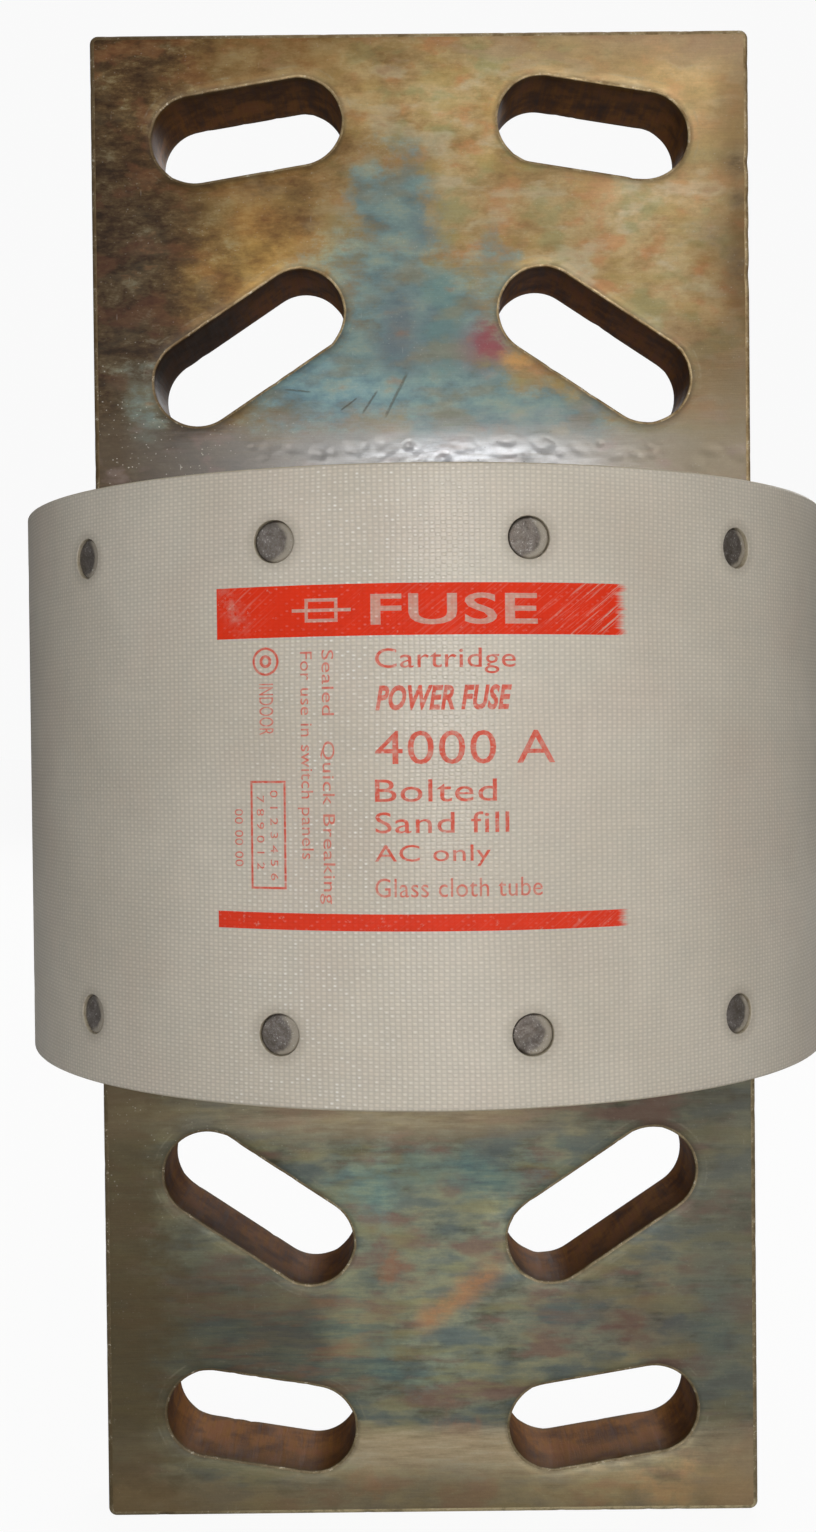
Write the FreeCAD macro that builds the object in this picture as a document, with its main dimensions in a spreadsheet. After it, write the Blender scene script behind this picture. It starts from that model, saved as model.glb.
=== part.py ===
import FreeCAD, Part

"""Bolted-blade power cartridge fuse, largest frame size.

A glass-cloth laminate tube is closed at each end by a copper block, held by a
ring of radial pins. A slotted copper blade is let into each block by a tenon.
Inside, twelve silver ribbons in parallel join the two blocks, in quartz sand.

Frame: +Z along the tube, up; +X across the blades; the front faces -Y.
The origin is the centre of the fuse. All sizes are in millimetres.
"""

import math
import os

import Sketcher

os.makedirs("parts", exist_ok=True)

Vector = FreeCAD.Vector
doc = FreeCAD.newDocument("CartridgeFuse")

# ---------------------------------------------------------------- dimensions
# Columns: alias, value or formula, note. A formula uses only aliases above it.
DIMENSIONS = [
    # tube
    ("tube_inner_dia", 127.0, "5 in"),
    ("tube_wall", 9.525, "3/8 in"),
    ("tube_outer_dia", "=tube_inner_dia + 2 * tube_wall", "5-3/4 in"),
    ("tube_len", 95.25, "3-3/4 in"),
    ("half_tube", "=tube_len / 2", "height of the tube's upper end"),
    ("tube_edge_break", 0.5, "chamfer on the tube's end edges"),
    # retaining pins and their holes
    ("pin_count", 12, "pins in each ring"),
    ("pin_hole_dia", 6.35, "1/4 in"),
    ("pin_hole_flare", 0.2, "countersunk edge of each hole in the tube"),
    ("pin_from_end", 11.0, "pin ring to tube end"),
    ("pin_height", "=half_tube - pin_from_end", "height of the upper pin ring"),
    ("pin_turn", 11.63, "degrees from -Y to the first pin, towards +X"),
    ("pin_fit", 0.025, "radial clearance of a pin in its hole"),
    ("pin_recess", 0.8, "pin end below the tube's skin"),
    ("pin_round", 0.6, "rounded pin ends"),
    ("pin_inner_radius", 51.2, "where a pin's inner end lies"),
    # how far a cutter runs past the face it cuts
    ("skin_overcut", 1.0, "outside the tube or the seal groove's mouth"),
    ("bore_overcut", 3.0, "pin hole cutter, inside the tube"),
    ("drill_overcut", 2.0, "block drill, beyond the tube's bore"),
    # end blocks
    ("block_fit", 0.05, "radial clearance of a block in the tube"),
    ("block_radius", "=tube_inner_dia / 2 - block_fit", ""),
    ("block_thick", 22.225, "7/8 in"),
    ("block_inner", "=half_tube - block_thick", "height of the upper block's inner face"),
    ("block_edge_break", 0.6, "chamfer on the block's edges"),
    # terminal blades
    ("blade_wide", 120.65, "4-3/4 in"),
    ("blade_thick", 19.05, "3/4 in"),
    ("blade_len", 88.9, "3-1/2 in, tube end to blade end"),
    ("blade_end", "=half_tube + blade_len", "height of the upper blade's end"),
    ("blade_edge_round", 1.2, "rounding of the blade's long and end edges"),
    ("tenon_wide", 95.25, "3-3/4 in"),
    ("tenon_thick", 12.7, "1/2 in"),
    ("tenon_deep", 19.05, "3/4 in"),
    # blade slots, given by the centres of their two round ends
    ("slot_wide", 15.875, "5/8 in"),
    ("slot_edge_break", 0.4, "chamfer on the slot edges"),
    ("slot_near_x", 22.225, "7/8 in, round end nearer the middle"),
    ("slot_far_x", 41.275, "1-5/8 in, round end nearer the side"),
    ("outer_near_from_end", 15.875, "5/8 in"),
    ("outer_far_from_end", 19.05, "3/4 in"),
    ("inner_near_from_end", 50.8, "2 in"),
    ("inner_far_from_end", 63.5, "2-1/2 in"),
    # seal rings
    ("seal_section", 2.48, "squeezed section of the O-ring"),
    ("seal_groove_deep", 2.45, ""),
    ("seal_groove_wide", 3.4, ""),
    ("seal_from_inner_face", 4.1, "groove middle to the block's inner face"),
    ("seal_height", "=block_inner + seal_from_inner_face", "height of the upper seal"),
    ("groove_floor", "=block_radius - seal_groove_deep", "radius of the groove's floor"),
    ("seal_radius", "=groove_floor + (seal_groove_deep + block_fit) / 2", "to the section"),
    # inner washers
    ("washer_thick", 1.6, "1/16 in"),
    ("washer_fit", 0.1, "radial clearance in the tube"),
    ("washer_inner", "=block_inner - washer_thick", "height of the upper washer's inner face"),
    # fuse elements
    ("ribbon_wide", 22.0, ""),
    ("ribbon_thick", 0.4, ""),
    ("ribbon_fit", 0.05, "clearance of a ribbon in its slit, each side"),
    ("ribbon_seat", 2.0, "how deep a ribbon sits in each block"),
    ("ribbon_end", "=block_inner + ribbon_seat", "height of a ribbon's upper end"),
    ("slit_half_wide", "=ribbon_wide / 2 + ribbon_fit", ""),
    ("slit_half_thick", "=ribbon_thick / 2 + ribbon_fit", ""),
    ("ribbon_pitch", 28.0, "ribbon to ribbon along X"),
    ("row_near", 20.0, "first row of ribbons from the middle"),
    ("row_far", 40.0, "second row of ribbons from the middle"),
    ("punch_dia", 4.4, "punched holes that leave narrow necks"),
    ("punch_pitch", 5.5, "hole to hole across a ribbon"),
    ("punch_rows", 5, "rows of holes along a ribbon"),
    ("punch_row_pitch", 8.0, ""),
    ("punch_span", "=punch_row_pitch * (punch_rows - 1)", "first row to last"),
    # overload beads
    ("bead_long", 16.0, ""),
    ("bead_radius", 1.3, ""),
    ("bead_round_share", 0.45, "end rounding as a share of the bead's radius"),
    ("bead_up", 4.0, "bead above the middle of the ribbon"),
    # sand and its plug
    ("sand_fit", 0.05, "radial clearance in the tube"),
    ("fill_hole_dia", 9.525, "3/8 in"),
    ("fill_hole_y", 30.0, ""),
    ("plug_fit", 0.03, "radial clearance of the plug"),
    ("plug_len", 8.0, ""),
    ("plug_sunk", 0.5, "plug top below the block's outer face"),
    ("plug_top", "=half_tube - plug_sunk", ""),
    ("plug_slot_wide", 1.6, ""),
    ("plug_slot_deep", 2.0, ""),
    ("plug_edge_break", 0.5, ""),
]

# The two ends of the fuse: name and sign of z.
ENDS = (("upper", 1), ("lower", -1))

# Centres (x, y) of the ribbons: two rows of three behind the XZ plane, two in front of it.
PLACES = [
    (f"{column} * dims.ribbon_pitch", f"{side} * dims.{row}")
    for side, row in ((-1, "row_far"), (-1, "row_near"), (1, "row_near"), (1, "row_far"))
    for column in (-1, 0, 1)
]
BACK_PLACES = PLACES[6:]  # those on +Y

# Sketcher's numbers for the points of a curve and for the sketch's axes.
START, END, CENTRE = 1, 2, 3
X_AXIS, Y_AXIS = -1, -2
ORIGIN = (-1, 1)

sheet = doc.addObject("Spreadsheet::Sheet", "dims")
sheet.set("A1", "name")
sheet.set("B1", "value")
sheet.set("C1", "note")
for row, (alias, value, note) in enumerate(DIMENSIONS, 2):
    sheet.set(f"A{row}", alias)
    sheet.set(f"B{row}", str(value))
    sheet.setAlias(f"B{row}", alias)
    if note:
        sheet.set(f"C{row}", note)
doc.recompute()


def size(alias):
    """The value of one cell of the sheet."""
    return float(sheet.get(alias))


def evaluate(expression):
    """The present value of an expression on the sheet, to draw a sketch in place."""
    for alias in sorted((row[0] for row in DIMENSIONS), key=len, reverse=True):
        expression = expression.replace("dims." + alias, repr(size(alias)))
    result = sheet.evalExpression(expression)
    return float(getattr(result, "Value", result))


# -------------------------------------------------------------- sketch helpers
def plane(body, role):
    return next(item for item in body.Origin.OriginFeatures if item.Role == role)


def new_body(label):
    body = doc.addObject("PartDesign::Body", label)
    body.Label = label
    return body


def new_sketch(body, name, role, offset=None):
    """A sketch on an origin plane of the body, shifted along its normal by an expression."""
    sketch = body.newObject("Sketcher::SketchObject", name)
    sketch.AttachmentSupport = [(plane(body, role), "")]
    sketch.MapMode = "FlatFace"
    if offset:
        sketch.setExpression(".AttachmentOffset.Base.z", offset)
    return sketch


def bind(sketch, name, constraint, expression):
    """Adds a named constraint driven by an expression."""
    index = sketch.addConstraint(constraint)
    sketch.renameConstraint(index, name)
    sketch.setExpression("Constraints." + name, expression)


def locate(sketch, name, curve, point, x, y):
    """Fixes a curve's point by expressions. None puts it on the axis where that value is 0."""
    for tag, kind, axis, place in (
        ("x", "DistanceX", Y_AXIS, x),
        ("y", "DistanceY", X_AXIS, y),
    ):
        if place is None:
            sketch.addConstraint(Sketcher.Constraint("PointOnObject", curve, point, axis))
        else:
            constraint = Sketcher.Constraint(kind, *ORIGIN, curve, point, evaluate(place))
            bind(sketch, f"{name}_{tag}", constraint, place)


def point_at(x, y):
    """A point from two expressions, either of which may be None for 0."""
    return Vector(*(0.0 if place is None else evaluate(place) for place in (x, y)), 0)


def closed_lines(sketch, corners):
    """Joined lines round the corners. Returns the number of the first."""
    first = sketch.GeometryCount
    count = len(corners)
    for i in range(count):
        sketch.addGeometry(Part.LineSegment(corners[i], corners[(i + 1) % count]), False)
    for i in range(count):
        following = first + (i + 1) % count
        sketch.addConstraint(
            Sketcher.Constraint("Coincident", first + i, END, following, START)
        )
    return first


def polygon(sketch, name, corners):
    """A closed polygon; each corner is a pair of expressions or None, as for locate."""
    first = closed_lines(sketch, [point_at(x, y) for x, y in corners])
    for i, (x, y) in enumerate(corners):
        locate(sketch, f"{name}_{i}", first + i, START, x, y)


def rectangle(sketch, name, x_low, x_high, y_low, y_high):
    """A rectangle by four expressions."""
    corners = [(x_low, y_low), (x_high, y_low), (x_high, y_high), (x_low, y_high)]
    first = closed_lines(sketch, [point_at(x, y) for x, y in corners])
    for i in (0, 2):
        sketch.addConstraint(Sketcher.Constraint("Horizontal", first + i))
    for i in (1, 3):
        sketch.addConstraint(Sketcher.Constraint("Vertical", first + i))
    locate(sketch, name + "_low", first, START, x_low, y_low)
    locate(sketch, name + "_high", first + 2, START, x_high, y_high)


def circle(sketch, name, x, y, diameter):
    """A circle by expressions; x and y may be None, as for locate."""
    curve = sketch.GeometryCount
    across = evaluate(diameter)
    sketch.addGeometry(Part.Circle(point_at(x, y), Vector(0, 0, 1), across / 2), False)
    locate(sketch, name, curve, CENTRE, x, y)
    bind(sketch, name + "_dia", Sketcher.Constraint("Diameter", curve, across), diameter)


def arc(sketch, centre, radius, start, end):
    """An arc in a sketch, angles in radians."""
    whole = Part.Circle(centre, Vector(0, 0, 1), radius)
    sketch.addGeometry(Part.ArcOfCircle(whole, start, end), False)


def slot(sketch, name, near_end, far_end, width):
    """A slot by its width and the centres of its round ends, all as expressions."""
    near_point = point_at(*near_end)
    far_point = point_at(*far_end)
    radius = evaluate(width) / 2
    along = far_point - near_point
    along.normalize()
    side = Vector(-along.y, along.x, 0) * radius
    turn = math.atan2(along.y, along.x)
    near_arc = sketch.GeometryCount
    near_line, far_arc, far_line = near_arc + 2, near_arc + 1, near_arc + 3
    arc(sketch, near_point, radius, turn + math.pi / 2, turn + 1.5 * math.pi)
    arc(sketch, far_point, radius, turn - math.pi / 2, turn + math.pi / 2)
    sketch.addGeometry(Part.LineSegment(near_point - side, far_point - side), False)
    sketch.addGeometry(Part.LineSegment(far_point + side, near_point + side), False)
    outline = (near_arc, near_line, far_arc, far_line)
    for i in range(4):
        sketch.addConstraint(
            Sketcher.Constraint("Tangent", outline[i], END, outline[(i + 1) % 4], START)
        )
    sketch.addConstraint(Sketcher.Constraint("Equal", near_arc, far_arc))
    bind(
        sketch,
        name + "_radius",
        Sketcher.Constraint("Radius", near_arc, radius),
        width + " / 2",
    )
    locate(sketch, name + "_near", near_arc, CENTRE, *near_end)
    locate(sketch, name + "_far", far_arc, CENTRE, *far_end)


# ------------------------------------------------------------- feature helpers
def pad(body, sketch, name, length, midplane=False, reverse=False):
    feature = body.newObject("PartDesign::Pad", name)
    feature.Profile = sketch
    feature.Type = 0
    feature.setExpression("Length", length)
    feature.Midplane = midplane
    feature.Reversed = reverse
    doc.recompute()


def check_cut(body, before, name):
    assert body.Shape.Volume < before - 1e-3, name + " cuts nothing"


def pocket(body, sketch, name, depth=None, midplane=False, reverse=False):
    """A pocket, through everything if depth is None."""
    before = body.Shape.Volume
    feature = body.newObject("PartDesign::Pocket", name)
    feature.Profile = sketch
    if depth is None:
        feature.Type = 1
    else:
        feature.Type = 0
        feature.setExpression("Length", depth)
    feature.Midplane = midplane
    feature.Reversed = reverse
    doc.recompute()
    check_cut(body, before, name)
    return feature


def full_turn(body, kind, sketch, name):
    """A Revolution or Groove, turned once about the sketch's vertical axis."""
    feature = body.newObject("PartDesign::" + kind, name)
    feature.Profile = sketch
    feature.ReferenceAxis = (sketch, ["V_Axis"])
    feature.Angle = 360.0
    doc.recompute()
    return feature


def groove(body, sketch, name):
    before = body.Shape.Volume
    feature = full_turn(body, "Groove", sketch, name)
    check_cut(body, before, name)
    return feature


def mirror(body, original, role, name):
    feature = body.newObject("PartDesign::Mirrored", name)
    feature.Originals = [original]
    feature.MirrorPlane = (plane(body, role), [""])
    body.Tip = feature
    doc.recompute()


def pin_ring(body, sketch, name, originals, whole=False):
    """Repeats features made along -Y round the tube's axis, and turns the body to the pins.

    With whole set, the body's whole shape is repeated.
    """
    pattern = body.newObject("PartDesign::PolarPattern", name)
    pattern.Axis = (sketch, ["N_Axis"])
    pattern.Angle = 360.0
    pattern.setExpression("Occurrences", "dims.pin_count")
    # Guards against a version whose patterns can't repeat a whole shape.
    if whole and hasattr(pattern, "TransformMode"):
        pattern.TransformMode = "Whole shape"
    else:
        pattern.Originals = originals
    body.Tip = pattern
    # A small first turn sets the rotation's axis; the sheet then drives its angle.
    body.Placement = FreeCAD.Placement(
        Vector(0, 0, 0), FreeCAD.Rotation(Vector(0, 0, 1), 1.0)
    )
    body.setExpression("Placement.Rotation.Angle", "dims.pin_turn")
    doc.recompute()


def dress(body, kind, name, amount, keep):
    """A Fillet or Chamfer on the edges of the body's tip for which keep is true."""
    base = body.Tip
    edges = [f"Edge{i}" for i, edge in enumerate(base.Shape.Edges, 1) if keep(edge)]
    assert edges, name + " finds no edge"
    feature = body.newObject("PartDesign::" + kind, name)
    feature.Base = (base, edges)
    feature.setExpression("Radius" if kind == "Fillet" else "Size", amount)
    doc.recompute()
    return feature


def is_ring(edge):
    """True for a full circle, which has a single vertex."""
    return len(edge.Vertexes) == 1


def near(a, b):
    return abs(a - b) < 1e-4


# ------------------------------------------------------------------ casing tube
def make_tube():
    """The tube, with a ring of flared pin holes at each end."""
    tube = new_body("casing_tube")
    sketch = new_sketch(tube, "tube_ring", "XY_Plane")
    circle(sketch, "outer", None, None, "dims.tube_outer_dia")
    circle(sketch, "inner", None, None, "dims.tube_inner_dia")
    pad(tube, sketch, "tube_barrel", "dims.tube_len", midplane=True)
    dress(tube, "Chamfer", "tube_end_edges", "dims.tube_edge_break", is_ring)

    # Each hole is turned about its own axis: a straight bore with a 45 degree mouth.
    bore_radius = "dims.pin_hole_dia / 2"
    mouth_radius = "dims.pin_hole_dia / 2 + dims.pin_hole_flare + dims.skin_overcut"
    bore_start = "-(dims.tube_inner_dia / 2 - dims.bore_overcut)"
    mouth_start = "-(dims.tube_outer_dia / 2 - dims.pin_hole_flare)"
    mouth_end = "-(dims.tube_outer_dia / 2 + dims.skin_overcut)"
    profile = [
        (None, bore_start),
        (bore_radius, bore_start),
        (bore_radius, mouth_start),
        (mouth_radius, mouth_end),
        (None, mouth_end),
    ]
    holes = []
    for end, sign in ENDS:
        height = f"{sign} * dims.pin_height"
        sketch = new_sketch(tube, end + "_hole_profile", "XY_Plane", height)
        polygon(sketch, "bore", profile)
        holes.append(groove(tube, sketch, end + "_pin_hole"))
    pin_ring(tube, sketch, "pin_hole_rings", holes)
    return tube


# --------------------------------------------------------------- terminal blades
SHOULDER_MARGIN = 3.0  # slot edges lie further than this from both ends of the plate
SLOT_REACH_SHARE = 0.75  # and nearer than this share of slot_wide to the far end's centre


def is_plate_edge(edge):
    """The plate's edges, apart from those round its shoulder against the block."""
    points = [vertex.Point for vertex in edge.Vertexes]
    shoulder = size("half_tube")
    return len(points) == 2 and not all(near(abs(point.z), shoulder) for point in points)


def is_slot_edge(edge):
    """The slots' edges on the blade's two broad faces."""
    box = edge.BoundBox
    half_thick = size("blade_thick") / 2
    on_face = (
        near(abs(box.YMin), half_thick)
        and near(abs(box.YMax), half_thick)
        and near(box.YMin, box.YMax)
    )
    reach = size("slot_far_x") + size("slot_wide") * SLOT_REACH_SHARE
    height = (abs(box.ZMin) + abs(box.ZMax)) / 2
    low = size("half_tube") + SHOULDER_MARGIN
    high = size("blade_end") - SHOULDER_MARGIN
    return (
        on_face
        and low < height < high
        and max(abs(box.XMin), abs(box.XMax)) < reach
        and box.XMin * box.XMax > 0
    )


def make_blade(end, sign):
    """A blade whose shoulder stands on the end block and whose tenon goes into it."""
    label = end + "_terminal_blade"
    body = new_body(label)
    foot = f"{sign} * dims.half_tube"
    tip = f"{sign} * dims.blade_end"
    root = f"{sign} * (dims.half_tube - dims.tenon_deep)"

    # A sketch on the XZ plane has X to the right and Z up.
    sketch = new_sketch(body, label + "_outline", "XZ_Plane")
    low, high = sorted((foot, tip), key=evaluate)
    rectangle(sketch, "plate", "-dims.blade_wide / 2", "dims.blade_wide / 2", low, high)
    pad(body, sketch, label + "_plate", "dims.blade_thick", midplane=True)
    dress(body, "Fillet", label + "_edges", "dims.blade_edge_round", is_plate_edge)

    sketch = new_sketch(body, label + "_tenon_outline", "XZ_Plane")
    low, high = sorted((root, foot), key=evaluate)
    rectangle(sketch, "tenon", "-dims.tenon_wide / 2", "dims.tenon_wide / 2", low, high)
    pad(body, sketch, label + "_tenon", "dims.tenon_thick", midplane=True)

    sketch = new_sketch(body, label + "_slots", "XZ_Plane")
    for name in ("outer", "inner"):
        slot(
            sketch,
            name,
            ("dims.slot_near_x", f"{sign} * (dims.blade_end - dims.{name}_near_from_end)"),
            ("dims.slot_far_x", f"{sign} * (dims.blade_end - dims.{name}_far_from_end)"),
            "dims.slot_wide",
        )
    cut = pocket(body, sketch, label + "_slot_cut", midplane=True)
    mirror(body, cut, "YZ_Plane", label + "_slot_pair")
    dress(body, "Chamfer", label + "_slot_edges", "dims.slot_edge_break", is_slot_edge)
    return body


# ---------------------------------------------------- end blocks and washers
def cut_slits(body, label, sign, depth=None, reverse=False):
    """Slits for the ribbons, from the plane of the block's inner face."""
    sketch = new_sketch(
        body, label + "_slit_outline", "XY_Plane", f"{sign} * dims.block_inner"
    )
    for i, (x, y) in enumerate(BACK_PLACES, 1):
        rectangle(
            sketch,
            f"slit{i}",
            x + " - dims.slit_half_wide",
            x + " + dims.slit_half_wide",
            y + " - dims.slit_half_thick",
            y + " + dims.slit_half_thick",
        )
    cut = pocket(body, sketch, label + "_slits", depth, reverse=reverse)
    mirror(body, cut, "XZ_Plane", label + "_slit_pair")


def cut_fill_hole(body, label, height):
    """The sand hole, cut downwards from a height."""
    sketch = new_sketch(body, label + "_fill_outline", "XY_Plane", height)
    circle(sketch, "fill", None, "dims.fill_hole_y", "dims.fill_hole_dia")
    pocket(body, sketch, label + "_fill_hole")


def make_blank(label, sign):
    """An end block without its pin holes, flush with the tube's end."""
    body = new_body(label)
    outer_face = f"{sign} * dims.half_tube"
    sketch = new_sketch(body, label + "_disc_outline", "XY_Plane", outer_face)
    circle(sketch, "disc", None, None, "2 * dims.block_radius")
    pad(body, sketch, label + "_disc", "dims.block_thick", reverse=sign > 0)
    dress(body, "Chamfer", label + "_edges", "dims.block_edge_break", is_ring)

    sketch = new_sketch(body, label + "_tenon_pocket_outline", "XY_Plane", outer_face)
    rectangle(
        sketch,
        "tenon",
        "-dims.tenon_wide / 2",
        "dims.tenon_wide / 2",
        "-dims.tenon_thick / 2",
        "dims.tenon_thick / 2",
    )
    pocket(body, sketch, label + "_tenon_pocket", "dims.tenon_deep", reverse=sign < 0)

    sketch = new_sketch(body, label + "_seal_profile", "XZ_Plane")
    middle = f"{sign} * dims.seal_height"
    rectangle(
        sketch,
        "groove",
        "dims.groove_floor",
        "dims.block_radius + dims.skin_overcut",
        middle + " - dims.seal_groove_wide / 2",
        middle + " + dims.seal_groove_wide / 2",
    )
    groove(body, sketch, label + "_seal_groove")

    cut_slits(body, label, sign, depth="dims.ribbon_seat", reverse=sign > 0)
    if sign > 0:
        cut_fill_hole(body, label, outer_face)
    return body


def turn_shank(body, label, sign, name, radius, outer_end):
    """One round bar along -Y, from outer_end to the pins' inner radius."""
    sketch = new_sketch(body, label + "_profile", "XY_Plane", f"{sign} * dims.pin_height")
    rectangle(sketch, name, "0", radius, outer_end, "-dims.pin_inner_radius")
    return sketch, full_turn(body, "Revolution", sketch, f"{label}_{name}")


def make_block(end, sign):
    """An end block. A ring of drills, turned to the pins, cuts its blind pin holes."""
    label = end + "_end_block"
    blank = make_blank(label + "_blank", sign)
    drills = new_body(label + "_drill_ring")
    drills.AllowCompound = True
    sketch, drill = turn_shank(
        drills,
        label,
        sign,
        "drill",
        "dims.pin_hole_dia / 2",
        "-(dims.tube_inner_dia / 2 + dims.drill_overcut)",
    )
    pin_ring(drills, sketch, label + "_drills", [drill])
    block = doc.addObject("Part::Cut", label)
    block.Label = label
    block.Base = blank
    block.Tool = drills
    doc.recompute()
    check_cut(block, blank.Shape.Volume, label)
    return block


def make_pins(end, sign):
    """A ring of pins: straight shanks with rounded ends."""
    label = end + "_retaining_pins"
    body = new_body(label)
    body.AllowCompound = True
    sketch, shank = turn_shank(
        body,
        label,
        sign,
        "shank",
        "dims.pin_hole_dia / 2 - dims.pin_fit",
        "-(dims.tube_outer_dia / 2 - dims.pin_recess)",
    )
    rounds = dress(body, "Fillet", label + "_rounds", "dims.pin_round", is_ring)
    pin_ring(body, sketch, label + "_ring", [shank, rounds], whole=True)
    return body


def make_seal(end, sign):
    """The O-ring in a block's groove."""
    seal = doc.addObject("Part::Torus", end + "_seal_ring")
    seal.Label = end + "_seal_ring"
    seal.setExpression("Radius2", "dims.seal_section / 2")
    seal.setExpression("Radius1", "dims.seal_radius")
    seal.setExpression("Placement.Base.z", f"{sign} * dims.seal_height")
    return seal


def make_washer(end, sign):
    """A slit disc against the block's inner face."""
    label = end + "_inner_washer"
    body = new_body(label)
    height = f"{sign} * dims.block_inner"
    sketch = new_sketch(body, label + "_disc_outline", "XY_Plane", height)
    circle(sketch, "disc", None, None, "dims.tube_inner_dia - 2 * dims.washer_fit")
    pad(body, sketch, label + "_disc", "dims.washer_thick", reverse=sign > 0)
    cut_slits(body, label, sign, reverse=sign < 0)
    if sign > 0:
        cut_fill_hole(body, label, height)
    return body


# ---------------------------------------------------------------- fuse elements
def make_element(number, x, y):
    """A ribbon with rows of punched holes, seated in both blocks."""
    label = f"fuse_element_{number:02d}"
    body = new_body(label)
    sketch = new_sketch(body, label + "_outline", "XZ_Plane")
    rectangle(
        sketch,
        "ribbon",
        "-dims.ribbon_wide / 2",
        "dims.ribbon_wide / 2",
        "-dims.ribbon_end",
        "dims.ribbon_end",
    )
    pad(body, sketch, label + "_ribbon", "dims.ribbon_thick", midplane=True)

    # The lowest row: three holes, and a half-round nick in each side edge.
    sketch = new_sketch(body, label + "_punch_row", "XZ_Plane")
    for name, place in (
        ("left_punch", "-dims.punch_pitch"),
        ("middle_punch", None),
        ("right_punch", "dims.punch_pitch"),
        ("left_nick", "-dims.ribbon_wide / 2"),
        ("right_nick", "dims.ribbon_wide / 2"),
    ):
        circle(sketch, name, place, "-dims.punch_span / 2", "dims.punch_dia")
    cut = pocket(body, sketch, label + "_punch", midplane=True)
    rows = body.newObject("PartDesign::LinearPattern", label + "_punch_rows")
    rows.Originals = [cut]
    rows.Direction = (sketch, ["V_Axis"])
    rows.setExpression("Length", "dims.punch_span")
    rows.setExpression("Occurrences", "dims.punch_rows")
    body.Tip = rows
    body.setExpression("Placement.Base.x", x)
    body.setExpression("Placement.Base.y", y)
    doc.recompute()
    return body


def make_bead(number, x, y):
    """Overload alloy on the ribbon's -Y face: half a round bar with rounded ends."""
    label = f"overload_bead_{number:02d}"
    body = new_body(label)
    sketch = new_sketch(body, label + "_profile", "YZ_Plane")
    radius = size("bead_radius")
    arc(sketch, Vector(0, 0, 0), radius, math.pi / 2, 1.5 * math.pi)
    sketch.addGeometry(Part.LineSegment(Vector(0, -radius, 0), Vector(0, radius, 0)), False)
    sketch.addConstraint(Sketcher.Constraint("Coincident", 0, END, 1, START))
    sketch.addConstraint(Sketcher.Constraint("Coincident", 1, END, 0, START))
    sketch.addConstraint(Sketcher.Constraint("Coincident", 0, CENTRE, *ORIGIN))
    sketch.addConstraint(Sketcher.Constraint("Vertical", 1))
    bind(sketch, "bead", Sketcher.Constraint("Radius", 0, radius), "dims.bead_radius")
    pad(body, sketch, label + "_bar", "dims.bead_long", midplane=True)
    dress(
        body,
        "Fillet",
        label + "_ends",
        "dims.bead_radius * dims.bead_round_share",
        lambda edge: edge.Curve.TypeId == "Part::GeomCircle",
    )
    body.setExpression("Placement.Base.x", x)
    body.setExpression("Placement.Base.y", y + " - dims.ribbon_thick / 2")
    body.setExpression("Placement.Base.z", "dims.bead_up")
    doc.recompute()
    return body


# -------------------------------------------------------------- sand and plug
def make_sand(buried_pieces):
    """The sand between the washers, less the ribbons and beads buried in it."""
    column = doc.addObject("Part::Cylinder", "sand_column")
    column.setExpression("Radius", "dims.tube_inner_dia / 2 - dims.sand_fit")
    column.setExpression("Height", "2 * dims.washer_inner")
    column.setExpression("Placement.Base.z", "-dims.washer_inner")
    buried = doc.addObject("Part::MultiFuse", "buried_pieces")
    buried.Shapes = buried_pieces
    sand = doc.addObject("Part::Cut", "quartz_sand_filling")
    sand.Label = "quartz_sand_filling"
    sand.Base = column
    sand.Tool = buried
    doc.recompute()
    return sand


def make_plug():
    """The slotted plug in the upper block's fill hole."""
    plug = new_body("sand_fill_plug")
    sketch = new_sketch(plug, "plug_outline", "XY_Plane", "dims.plug_top")
    circle(sketch, "plug", None, None, "dims.fill_hole_dia - 2 * dims.plug_fit")
    pad(plug, sketch, "plug_shank", "dims.plug_len", reverse=True)
    dress(plug, "Chamfer", "plug_edges", "dims.plug_edge_break", is_ring)
    sketch = new_sketch(plug, "plug_slot_outline", "XY_Plane", "dims.plug_top")
    rectangle(
        sketch,
        "driver",
        "-dims.fill_hole_dia",
        "dims.fill_hole_dia",
        "-dims.plug_slot_wide / 2",
        "dims.plug_slot_wide / 2",
    )
    pocket(plug, sketch, "plug_slot", "dims.plug_slot_deep")
    plug.setExpression("Placement.Base.y", "dims.fill_hole_y")
    return plug


# ------------------------------------------------------------ build and export
parts = [make_tube()]
for make_piece in (make_blade, make_block, make_pins, make_seal, make_washer):
    parts += [make_piece(end, sign) for end, sign in ENDS]
elements, beads = [], []
for number, (x, y) in enumerate(PLACES, 1):
    elements.append(make_element(number, x, y))
    beads.append(make_bead(number, x, y))
parts += elements + beads
parts.append(make_sand(elements + beads))
parts.append(make_plug())
doc.recompute()

for item in doc.Objects:
    bad = [state for state in item.State if state in ("Invalid", "Error")]
    assert not bad, f"{item.Name} is {bad}"

for part in parts:
    shape = part.Shape
    assert shape.isValid(), part.Label + " isn't valid"
    wanted = int(size("pin_count")) if part.Label.endswith("_pins") else 1
    assert len(shape.Solids) == wanted, f"{part.Label} has {len(shape.Solids)} solids"
    shape.exportStep(os.path.join("parts", part.Label + ".step"))
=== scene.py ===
"""A large cartridge fuse: a glass-cloth tube with a slotted copper blade at each end.

The tube stands upright on Z about the origin. The blades lie flat in XZ, and the printed
label faces -Y, the front, with +X on its right. Sizes are in millimetres until a mesh is
made; lights, floor and camera are placed in metres.
"""

import math
import random
from functools import reduce
from types import SimpleNamespace

import bmesh
import bpy
import numpy as np
from mathutils import Matrix, Vector
from mathutils.geometry import delaunay_2d_cdt


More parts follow.
